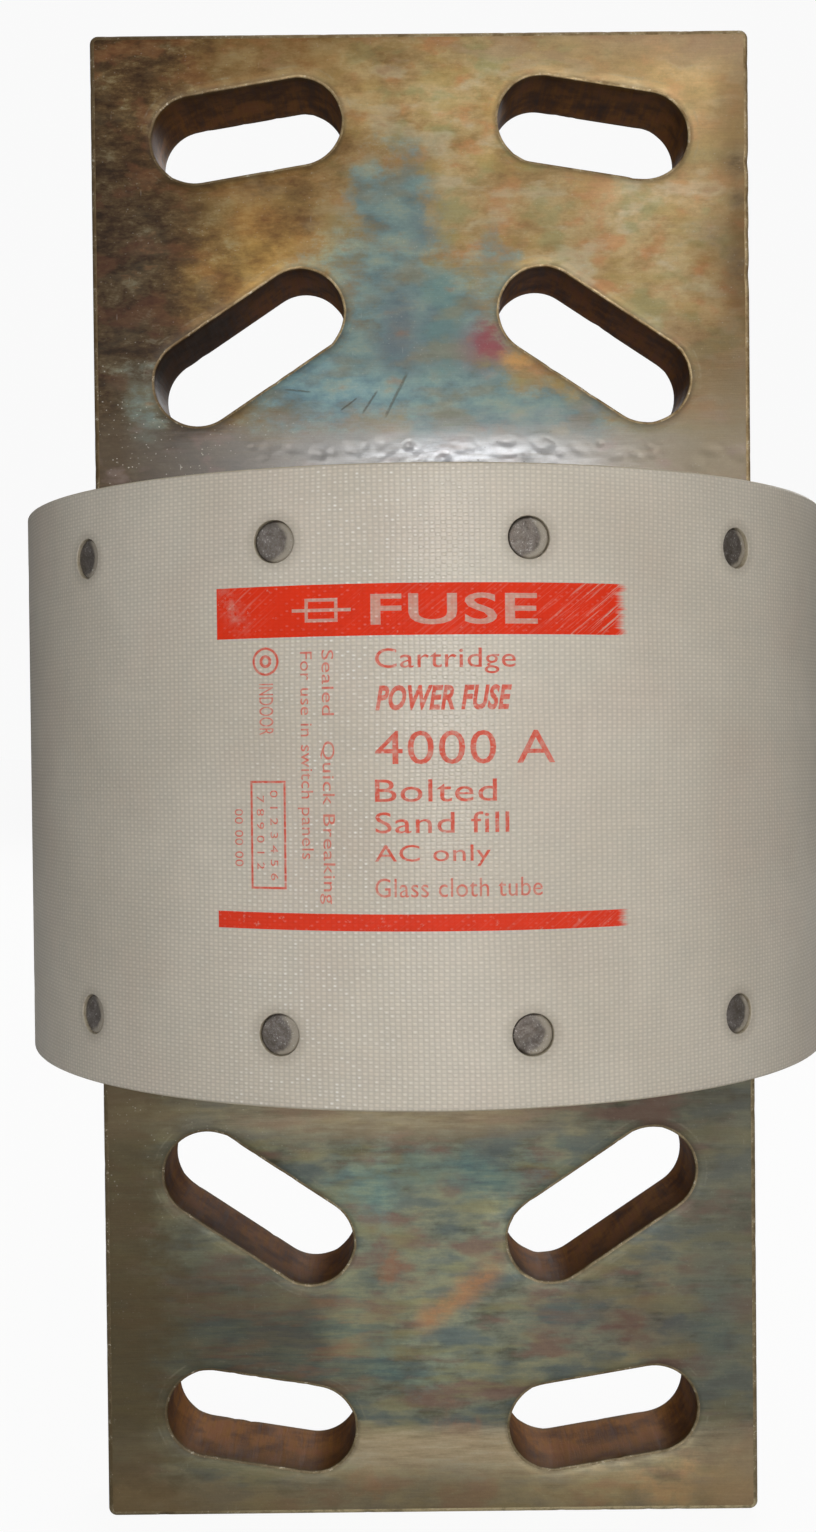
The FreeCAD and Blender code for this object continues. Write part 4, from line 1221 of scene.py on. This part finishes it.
def face_mesh(loops, fine_below, rng):
    """Points and triangles over a flat face between its edge loops, finer below fine_below."""
    pts, edges = [], []
    for loop in loops:
        k = len(pts)
        pts.extend((float(p[0]), float(p[1])) for p in loop)
        edges.extend([(k + i, k + (i + 1) % len(loop)) for i in range(len(loop))])
    side = HALF_WIDE - BLADE_ROUND
    # A grid of near-equal triangles, a little shaken.
    xs, zs = [], []
    z, row = HALF_TUBE + 0.5, 0
    while z < HALF_LONG - BLADE_ROUND - 0.3:
        step = 0.42 if z < fine_below else 0.85
        x = np.arange(-HALF_WIDE + BLADE_ROUND + 0.5, side - 0.4, step)
        x = x + (step / 2 if row % 2 else 0.0)
        x = x[x < side - 0.35]
        xs.append(x)
        zs.append(np.full(len(x), z))
        z += step * 0.866
        row += 1
    x, z = np.concatenate(xs), np.concatenate(zs)
    x = x + np.array([rng.uniform(-0.06, 0.06) for _ in x])
    z = z + np.array([rng.uniform(-0.06, 0.06) for _ in z])
    corner = (np.abs(x) > HALF_WIDE - PLAN_ROUND - 0.2) & (z > HALF_LONG - PLAN_ROUND - 0.2)
    keep = ~(off_slots(x, z) < SLOT_R + 3.3) & ~corner
    pts.extend(zip(x[keep].tolist(), z[keep].tolist()))
    # Rows of points that follow each slot.
    for a, b in SLOTS:
        for k, off in enumerate((0.8, 1.25, 1.75, 2.3, 2.9)):
            for p, n in slot_path(a, b, 0.7 if k % 2 else 0.72):
                q = p + n * (off + rng.uniform(-0.03, 0.03))
                if abs(q[0]) < side - 0.3 and q[1] < HALF_LONG - BLADE_ROUND - 0.3:
                    pts.append((float(q[0]), float(q[1])))
    cut = delaunay_2d_cdt([Vector(p) for p in pts], edges, [], 1, 1e-7)
    source = [ids[0] for ids in cut[3]]
    tris = [[source[i] for i in t] for t in cut[2] if len(t) == 3]
    centres = np.array(pts)[np.array(tris)].mean(1)
    inside = ~(off_slots(centres[:, 0], centres[:, 1]) < SLOT_R + (SLOT_LIP - 0.02))
    return pts, [t for t, kept in zip(tris, inside) if kept]


def wave(x, z, seed):
    """Slow unevenness of the face, a few hundredths of a millimetre."""
    broad = 0.035 * np.sin(x * 0.071 + seed) * np.cos(z * 0.053 + seed * 1.7)
    return broad + 0.02 * np.sin(x * 0.19 + z * 0.11 + seed * 2.3)


def make_dents(rng, hammered):
    """Shallow craters: (x, z, radius, depth, stretch along x, turn)."""
    out = []
    if hammered:
        for _ in range(170):
            out.append((
                rng.gauss(8.0, 20.0), rng.uniform(54.5, 61.5),
                rng.uniform(0.4, 1.15), rng.uniform(0.03, 0.12),
                rng.uniform(1.0, 2.2), rng.uniform(-0.5, 0.5),
            ))
        out += [
            (3.6, 58.3, 1.15, 0.34, 1.5, 0.2),
            (15.5, 61.6, 0.9, 0.2, 1.6, 0.0),
            (31.8, 55.8, 0.9, 0.24, 1.3, 0.3),
            (22.5, 60.6, 1.2, 0.18, 1.9, -0.2),
        ]
    for _ in range(90):
        out.append((
            rng.uniform(-58, 58), rng.uniform(50, 134),
            rng.uniform(0.5, 1.4), rng.uniform(0.01, 0.05),
            rng.uniform(1.0, 2.4), rng.uniform(-1.5, 1.5),
        ))
    return out


def sunk(x, z, face, dents, seed):
    """How far the worn face lies inside its plane."""
    depth = 0.055 - wave(x, z, seed * 0.37 + face)
    gap = off_slots(x, z) - SLOT_R
    # The metal is drawn in round each slot, most on the front, inside a faint ridge.
    depth += 0.24 * np.exp(-np.maximum(gap - SLOT_LIP, 0.0) / 0.75) * (1 if face < 0 else 0.4)
    depth -= 0.03 * np.exp(-(((gap - 2.0) / 0.28) ** 2))
    for dent_x, dent_z, r, deep, stretch, a in dents:
        reach = 4 * r * stretch
        near = (np.abs(x - dent_x) < reach) & (np.abs(z - dent_z) < reach)
        dx, dz = x[near] - dent_x, z[near] - dent_z
        u = dx * math.cos(a) + dz * math.sin(a)
        w = -dx * math.sin(a) + dz * math.cos(a)
        q = (u / (r * stretch)) ** 2 + (w / r) ** 2
        raised = 0.3 * np.exp(-((np.sqrt(q) - 1.5) ** 2) * 4.0)
        depth[near] += deep * (np.exp(-q * 1.4) - raised)
    return np.maximum(depth, 0.0)


# The upper blade's own bites. On the lip of the right outer slot: x, z, radius, depth.
SLOT_NICKS = (
    (33.4, 127.6, 0.7, 0.3), (35.2, 127.3, 0.8, 0.34), (37.0, 126.9, 0.7, 0.28),
    (39.2, 126.4, 0.6, 0.22),
)
# Down the right edge: z, radius, depth.
SIDE_NICKS = ((112.5, 1.2, 0.35), (105.8, 0.9, 0.3), (99.5, 1.1, 0.22), (92.0, 1.4, 0.28))


def make_nicks(plate, slots, rng, lower):
    """Bites out of the edges: (place, direction into the metal, radius, depth)."""
    nicks = []

    def add(p, n, face, radius, depth):
        inward = (n[0] * 0.75, -face * 0.66, n[1] * 0.75)
        nicks.append(((p[0], face * HALF_THICK, p[1]), inward, radius, depth))

    def scatter(path, margin, inward, counts, radii, depths):
        for face, count in zip((-1, 1), counts):
            for _ in range(count):
                p, n = path[rng.randrange(margin, len(path) - margin)]
                add(p, n * inward, face, rng.uniform(*radii), rng.uniform(*depths))

    for slot in slots:
        scatter(slot, 0, 1, counts=(12, 7), radii=(0.45, 1.1), depths=(0.06, 0.2))
    scatter(plate, 8, -1, counts=(30, 24), radii=(0.4, 0.9), depths=(0.05, 0.16))
    if not lower:
        for x, z, radius, depth in SLOT_NICKS:
            add((x, z), (0.0, 1.0), -1, radius, depth)
        for z, radius, depth in SIDE_NICKS:
            add((HALF_WIDE, z), (-1.0, 0.0), -1, radius, depth)
    return nicks


def wear_points(points, nicks, rng, lower, seed):
    """Sinks the flat faces and bites the edges."""
    p = np.array(points)
    moved = p.copy()
    flat = HALF_THICK - BLADE_ROUND
    for face in (-1, 1):
        on = (p[:, 1] * face > flat) & (p[:, 2] > HALF_TUBE - 0.01)
        fade = np.clip((p[on, 1] * face - flat) / BLADE_ROUND, 0, 1)
        dents = make_dents(rng, hammered=face < 0 and not lower)
        moved[on, 1] -= face * fade**2 * sunk(p[on, 0], p[on, 2], face, dents, seed)
    for centre, inward, radius, depth in nicks:
        d2 = ((p - np.array(centre)) ** 2).sum(1) / (radius * radius)
        near = d2 < 9
        moved[near] += np.exp(-d2[near])[:, None] * np.array(inward) * depth
    return moved


def close_shoulder(mesh, up):
    """Fills the frame between the plate's foot and the tenon, and marks sharp edges."""
    bm = bmesh.new()
    bm.from_mesh(mesh)
    foot = up * HALF_TUBE * MM
    rim = [
        e for e in bm.edges
        if e.is_boundary and all(abs(v.co.z - foot) < 2e-6 for v in e.verts)
    ]
    made = bmesh.ops.triangle_fill(bm, edges=rim, use_beauty=True, use_dissolve=False)
    for item in made["geom"]:
        if isinstance(item, bmesh.types.BMFace):
            item.material_index = SIDE
    bmesh.ops.recalc_face_normals(bm, faces=bm.faces)
    for face in bm.faces:
        face.smooth = True
    for edge in bm.edges:
        if edge.is_manifold and edge.calc_face_angle(0.0) > math.radians(50):
            edge.smooth = False
    bm.to_mesh(mesh)
    bm.free()


def build_blade(end, up, seed):
    lower = up < 0
    rng = random.Random(seed)
    b = Builder()
    plate = plate_path()
    slots = [slot_path(*slot) for slot in SLOTS]
    loops = {-1: [], 1: []}

    rings = edge_rings(plate, BLADE_ROUND, -1.0)
    b.rings(rings, kinds=edge_kinds(SIDE), closed=False)
    foot = np.linspace(-HALF_WIDE + BLADE_ROUND, HALF_WIDE - BLADE_ROUND, 140)[1:-1]
    for face, ring in ((-1, rings[0]), (1, rings[-1])):
        loops[face].append([(p[0], p[2]) for p in ring] + [(float(x), HALF_TUBE) for x in foot])
    for slot in slots:
        rings = edge_rings(slot, SLOT_LIP, 1.0)
        b.rings(rings, kinds=edge_kinds(WALL))
        for face, ring in ((-1, rings[0]), (1, rings[-1])):
            loops[face].append([(p[0], p[2]) for p in ring])
    for face in (-1, 1):
        fine_below = 64.0 if face < 0 and not lower else 0.0
        pts, tris = face_mesh(loops[face], fine_below, rng)
        y = face * HALF_THICK
        for t in tris:
            b.face([(pts[i][0], y, pts[i][1]) for i in t], FLAT)

    # Tenon below the shoulder.
    wide, thick = TENON_HALF_WIDE, TENON_HALF_THICK
    corners = [(-wide, -thick), (wide, -thick), (wide, thick), (-wide, thick)]
    top = [(x, y, HALF_TUBE) for x, y in corners]
    bottom = [(x, y, HALF_TUBE - TENON_LONG) for x, y in corners]
    b.rings([top, bottom], kind=SIDE)
    b.face(bottom, SIDE)

    nicks = make_nicks(plate, slots, rng, lower)
    moved = wear_points(b.points, nicks, rng, lower, seed)
    moved[:, 2] *= up
    b.points = [tuple(p) for p in moved]
    make_skin = make_lower_skin if lower else make_upper_skin
    materials = [
        make_skin("tarnished_silver_" + end),
        make_edge_skin("worn_edge_" + end, lower),
        make_wall_skin("slot_wall_" + end, lower),
        make_side_skin("plated_side_" + end, lower),
    ]
    ob = b.object(end + "_blade", materials, recalc=False)
    close_shoulder(ob.data, up)
    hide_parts(end + "_terminal_blade")


build_tube()
pin_steel = make_pin_skin("dull_steel_pin")
build_pins("upper_drive_pins", "upper_retaining_pins", up=1, seed=5, material=pin_steel)
build_pins("lower_drive_pins", "lower_retaining_pins", up=-1, seed=6, material=pin_steel)
build_blade("upper", up=1, seed=11)
build_blade("lower", up=-1, seed=12)


# ---------------------------------------------------------------- printed label
# Drawings are flat, in (s, z): round the tube from the front, and up.
INK_LIFT = 0.03  # how far ink stands off the skin
SECOND_LIFT = 0.05  # for print on top of the band
INK_ROOT = -0.02
STRIP = 1.2  # width of the strips a drawing is cut into
# First cuts and tidying distances, tried until a drawing's edges all pair up.
CUT_SHIFTS = (0.013, 0.21, 0.37, 0.53, 0.71, 0.87, 1.03, 0.11, 0.29, 0.61, 0.95)
TIDY_DISTANCES = (0.0, 1e-4, 1e-3)


def cut_flat(verts, faces, shift, tidy):
    """Cuts a drawing into strips that can follow the tube.

    Gives its points, faces, directed edges and how many edges are shared wrongly.
    """
    bm = bmesh.new()
    corners = [bm.verts.new((x, z, 0.0)) for x, z in verts]
    for face in faces:
        # Lettering may hold a face twice or a collapsed one, which can't be made.
        try:
            bm.faces.new([corners[i] for i in face])
        except ValueError:
            pass
    bmesh.ops.remove_doubles(bm, verts=bm.verts, dist=1e-5)
    low = min(v.co.x for v in bm.verts)
    high = max(v.co.x for v in bm.verts)
    cut = math.ceil(low) + shift
    while cut < high:
        geom = bm.verts[:] + bm.edges[:] + bm.faces[:]
        bmesh.ops.bisect_plane(bm, geom=geom, dist=1e-5, plane_co=(cut, 0, 0), plane_no=(1, 0, 0))
        cut += STRIP
    if tidy:
        bmesh.ops.dissolve_degenerate(bm, dist=tidy, edges=bm.edges[:])
    thin = [f for f in bm.faces if f.calc_area() <= 1e-7]
    bmesh.ops.delete(bm, geom=thin, context="FACES_ONLY")
    bm.normal_update()
    bm.verts.index_update()
    flat = [(v.co.x, v.co.y) for v in bm.verts]
    loops = []
    for f in bm.faces:
        ids = [v.index for v in f.verts]
        loops.append(ids if f.normal.z > 0 else ids[::-1])
    bm.free()
    ways = {}
    for ids in loops:
        for i in range(len(ids)):
            way = (ids[i - 1], ids[i])
            ways[way] = ways.get(way, 0) + 1
    starts = [p for p, q in ways if (q, p) not in ways]
    wrong = sum(k - 1 for k in ways.values()) + len(starts) - len(set(starts))
    return flat, loops, ways, wrong


def wrap_flat(name, drawing, material, lift=INK_LIFT, slant=0.0):
    """Lays a drawing on the tube's skin as a closed, paper-thin solid."""
    best = None
    for tidy, shift in ((t, s) for t in TIDY_DISTANCES for s in CUT_SHIFTS):
        got = cut_flat(*drawing, shift, tidy)
        if best is None or got[3] < best[3]:
            best = got
        if best[3] == 0:
            break
    flat, loops, ways, _ = best
    n = len(flat)
    points = []
    for height in (lift, INK_ROOT):
        points += [on_skin(s, z + slant * s, R_OUT + height) for s, z in flat]
    solid = list(loops) + [[i + n for i in reversed(ids)] for ids in loops]
    for p, q in ways:
        if (q, p) not in ways:
            solid.append([q, p, p + n, q + n])
    mesh = bpy.data.meshes.new(name)
    mesh.from_pydata([(x * MM, y * MM, z * MM) for x, y, z in points], [], solid)
    mesh.materials.append(material)
    mesh.update()
    add_object(name, mesh)


def text_shape(text, bold, slant):
    """A line of lettering as a flat drawing."""
    curve = bpy.data.curves.new("lettering", "FONT")
    curve.body = text
    curve.size = 1.0
    curve.offset = bold
    curve.shear = slant
    curve.space_character = 1.05
    curve.resolution_u = 4
    ob = bpy.data.objects.new("lettering", curve)
    scene.collection.objects.link(ob)
    bpy.context.view_layer.update()
    mesh = bpy.data.meshes.new_from_object(
        ob.evaluated_get(bpy.context.evaluated_depsgraph_get())
    )
    verts = [(v.co.x, v.co.y) for v in mesh.vertices]
    faces = [tuple(p.vertices) for p in mesh.polygons]
    bpy.data.objects.remove(ob)
    bpy.data.curves.remove(curve)
    bpy.data.meshes.remove(mesh)
    return verts, faces


def print_text(name, text, box, ink, lift=INK_LIFT, bold=0.0, slant=0.0, upright=False):
    """Lettering stretched to fill (s0, s1, z0, z1); upright reads from top to bottom."""
    s0, s1, z0, z1 = box
    verts, faces = text_shape(text, bold, slant)
    xs, ys = [v[0] for v in verts], [v[1] for v in verts]
    x0, x1, y0, y1 = min(xs), max(xs), min(ys), max(ys)
    out = []
    for x, y in verts:
        u, w = (x - x0) / (x1 - x0), (y - y0) / (y1 - y0)
        if upright:
            out.append((s0 + w * (s1 - s0), z1 - u * (z1 - z0)))
        else:
            out.append((s0 + u * (s1 - s0), z0 + w * (z1 - z0)))
    wrap_flat(name, (out, faces), ink, lift)


def print_lines(prefix, rows, **style):
    """Numbered lines. rows: (text, box, ink), and a style of its own where it has one."""
    for number, (text, box, ink, *own) in enumerate(rows, 1):
        print_text(prefix + str(number), text, box, ink, **style, **(own[0] if own else {}))


def boxes(*items):
    """Plain rectangles (s0, s1, z0, z1), each its own island."""
    verts, faces = [], []
    for s0, s1, z0, z1 in items:
        k = len(verts)
        verts += [(s0, z0), (s1, z0), (s1, z1), (s0, z1)]
        faces.append((k, k + 1, k + 2, k + 3))
    return verts, faces


def frame_shape(s0, s1, z0, z1, wide):
    """A rectangle's outline."""
    verts = boxes((s0, s1, z0, z1))[0]
    verts += boxes((s0 + wide, s1 - wide, z0 + wide, z1 - wide))[0]
    return verts, [(i, (i + 1) % 4, 4 + (i + 1) % 4, 4 + i) for i in range(4)]


def ring_shape(s, z, inner, outer, count=48):
    verts, faces = [], []
    for i in range(count):
        a = 2 * math.pi * i / count
        verts += [(s + r * math.cos(a), z + r * math.sin(a)) for r in (inner, outer)]
        j = (i + 1) % count
        faces.append((2 * i, 2 * j, 2 * j + 1, 2 * i + 1))
    return verts, faces


RED = (244, 50, 0)
BAND = make_ink("label_ink_band", RED, cover=0.98, scratch=0.7, fade=0.12, wiped=0.3, worn=0.1)
LINE = make_ink("label_ink_line", RED, cover=0.96, scratch=0.3, fade=0.16, worn=0.1)
TEXT = make_ink("label_ink_text", (236, 66, 34), cover=0.86, fade=0.36, worn=0.36)
FAINT = make_ink("label_ink_faint", (236, 72, 40), cover=0.76, fade=0.42, worn=0.36)
BARE = make_ink("label_knocked_out", (232, 84, 54), cover=0.68, fade=0.6, worn=0.25)

wrap_flat("label_band", boxes((-33.0, 30.6, 22.4, 30.0)), BAND)
wrap_flat("label_line", boxes((-33.3, 31.2, -21.0, -18.5)), LINE, slant=-0.004)
print_text("label_band_word", "FUSE", (-8.7, 16.0, 23.9, 28.5), BARE, SECOND_LIFT, bold=0.015)
# The usual circuit symbol of a fuse: a box with a line through it.
symbol_box = frame_shape(-18.6, -13.6, 24.5, 28.0, wide=0.5)
symbol_line = boxes(
    (-20.6, -18.6, 26.0, 26.5), (-18.1, -14.1, 26.0, 26.5), (-13.6, -11.6, 26.0, 26.5)
)
wrap_flat("label_band_symbol_box", symbol_box, BARE, SECOND_LIFT)
wrap_flat("label_band_symbol_line", symbol_line, BARE, SECOND_LIFT)

print_lines("label_text_", (
    ("Cartridge", (-8.1, 12.6, 16.7, 20.5), TEXT),
    ("POWER FUSE", (-8.1, 12.0, 11.4, 15.1), TEXT, {"bold": 0.035, "slant": 0.25}),
    ("4000 A", (-8.2, 18.5, 3.5, 8.4), TEXT),
    ("Bolted", (-8.3, 9.6, -2.0, 1.3), TEXT),
    ("Sand fill", (-8.3, 11.4, -6.6, -3.5), TEXT),
    ("AC only", (-8.4, 8.6, -11.5, -8.3), TEXT),
    ("Glass cloth tube", (-8.4, 16.4, -16.0, -13.2), FAINT),
))
print_lines("label_upright_", (
    ("Sealed   Quick Breaking", (-16.7, -14.3, -17.0, 20.4), FAINT),
    ("For use in switch panels", (-20.0, -17.6, -10.4, 20.2), FAINT),
    ("INDOOR", (-26.0, -23.7, 8.0, 15.6), FAINT),
), upright=True)
wrap_flat("label_ring", ring_shape(-24.9, 18.9, inner=1.75, outer=2.1), TEXT)
wrap_flat("label_ring_dot", ring_shape(-24.9, 18.9, inner=0.5, outer=0.95, count=32), TEXT)
wrap_flat("label_frame", frame_shape(-27.6, -21.9, -14.9, 1.2, wide=0.33), TEXT)
print_lines("label_small_", (
    ("0 1 2 3 4 5 6", (-24.4, -23.2, -13.6, -0.2), FAINT),
    ("7 8 9 0 1 2", (-26.6, -25.4, -12.0, -1.0), FAINT),
    ("00 00 00", (-30.3, -28.9, -11.6, -3.0), FAINT),
), upright=True)


# ----------------------------------------------- CAD pieces that stay as made
def dress(node, material):
    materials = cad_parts[node].data.materials
    materials.clear()
    materials.append(material)


copper = make_turned_copper("turned_copper")
brass = make_plain("brass_plug", (150, 118, 62), (196, 162, 96),
                   metallic=0.85, rough=(0.3, 0.5), scale=0.8)
silver = make_plain("element_silver", (206, 204, 198), (232, 231, 227),
                    metallic=0.95, rough=(0.22, 0.4), scale=1.4, depth=0.02, stretch=(0.3, 1, 1))
solder = make_plain("overload_alloy", (128, 130, 132), (170, 171, 172),
                    metallic=0.8, rough=(0.35, 0.55), scale=1.8)
sand = make_plain("quartz_sand", (190, 174, 142), (236, 228, 208),
                  rough=(0.6, 0.9), scale=2.2, depth=0.25)
rubber = make_plain("seal_rubber", (24, 24, 26), (44, 43, 44), rough=(0.5, 0.7), scale=1.2)
fibre = make_plain("vulcanised_fibre", (104, 48, 34), (146, 78, 56), rough=(0.5, 0.75), scale=0.9)

for end in ("upper", "lower"):
    dress(end + "_end_block", copper)
    dress(end + "_seal_ring", rubber)
    dress(end + "_inner_washer", fibre)
dress("sand_fill_plug", brass)
dress("quartz_sand_filling", sand)
for i in range(1, 13):
    dress("fuse_element_%02d" % i, silver)
    dress("overload_bead_%02d" % i, solder)


# ------------------------------------------------------------------ the stage
WHITE = (1, 1, 1, 1)


def make_floor():
    g = new_graph("pale_floor")
    mottle = g.place().scale(0.004).noise(4.0, 0.5)
    plain = g.shader(
        "ShaderNodeBsdfPrincipled",
        Base_Color=mottle.between((0.46, 0.457, 0.45, 1), (0.5, 0.498, 0.49, 1)),
        Roughness=0.75,
        Specular_IOR_Level=0.25,
    )
    # To the camera, the floor runs into the white of the studio.
    glow = g.shader("ShaderNodeEmission", Color=WHITE, Strength=1.085)
    return g.output(g.camera_mix(g.is_camera() * 0.86, plain, glow))


def build_floor():
    bm = bmesh.new()
    bmesh.ops.create_grid(bm, x_segments=24, y_segments=24, size=14.0)
    mesh = bpy.data.meshes.new("floor")
    bm.to_mesh(mesh)
    bm.free()
    mesh.materials.append(make_floor())
    floor = bpy.data.objects.new("floor", mesh)
    floor.location = (0, 0, cad_low.z - 0.0002)  # just clear of the lower blade
    scene.collection.objects.link(floor)


def make_world():
    """A dim grey sky, lighter overhead, that the camera sees as white."""
    scene.world = bpy.data.worlds.new("studio")
    g = Graph(scene.world, "ShaderNodeOutputWorld")
    height = g.node("ShaderNodeTexCoord", output="Generated").split()[2]
    sky = height.fit(-0.2, 0.9).ramp({0.0: (0.42, 0.42, 0.42, 1), 1.0: (0.62, 0.63, 0.65, 1)})
    glow = g.shader("ShaderNodeBackground", Color=sky, Strength=0.2)
    seen = g.shader("ShaderNodeBackground", Color=WHITE, Strength=0.95)
    g.output(g.camera_mix(g.is_camera(), glow, seen))


# Lamps aimed at the origin. Columns: name, place, width, height (m), watts, colour.
SOFTBOXES = (
    ("key", (0.05, -0.60, 0.05), 0.14, 0.14, 1.12, (1.0, 0.985, 0.96)),
    ("window", (-0.42, -0.66, 0.06), 0.12, 0.16, 0.5, (0.97, 0.99, 1.0)),
    ("right_fill", (1.15, -1.25, 0.65), 1.2, 1.4, 5.0, (1.0, 0.98, 0.95)),
    ("left_fill", (-1.5, -0.6, 0.5), 1.0, 1.2, 0.9, (0.95, 0.98, 1.0)),
    ("back_fill", (0.5, 1.6, 1.0), 1.4, 1.2, 15.0, (1, 1, 1)),
    ("top_fill", (0.0, 0.1, 1.7), 1.6, 1.6, 3.4, (1, 1, 1)),
)


def add_softboxes():
    target = Vector((0, 0, 0))
    for name, place, wide, high, watts, colour in SOFTBOXES:
        data = bpy.data.lights.new(name, "AREA")
        data.shape = "RECTANGLE"
        data.size, data.size_y = wide, high
        data.energy = watts
        data.color = colour
        ob = bpy.data.objects.new(name, data)
        ob.location = place
        ob.rotation_euler = (target - Vector(place)).to_track_quat("-Z", "Y").to_euler()
        ob.visible_camera = False
        scene.collection.objects.link(ob)


# The camera stands in front, looking along +Y.
CAMERA_PLACE = (-0.003794, -0.316467, 0.007184)
CAMERA_TURN = (
    (0.999946, 0.010326, -0.001535),
    (-0.001702, 0.016112, -0.999869),
    (-0.0103, 0.999817, 0.016128),
)


def add_camera():
    data = bpy.data.cameras.new("camera")
    data.lens = 39.1535
    data.clip_start, data.clip_end = 0.01, 60.0
    camera = bpy.data.objects.new("camera", data)
    camera.matrix_world = Matrix.Translation(CAMERA_PLACE) @ Matrix(CAMERA_TURN).to_4x4()
    scene.collection.objects.link(camera)
    scene.camera = camera


build_floor()
make_world()
add_softboxes()
add_camera()

bpy.context.view_layer.update()
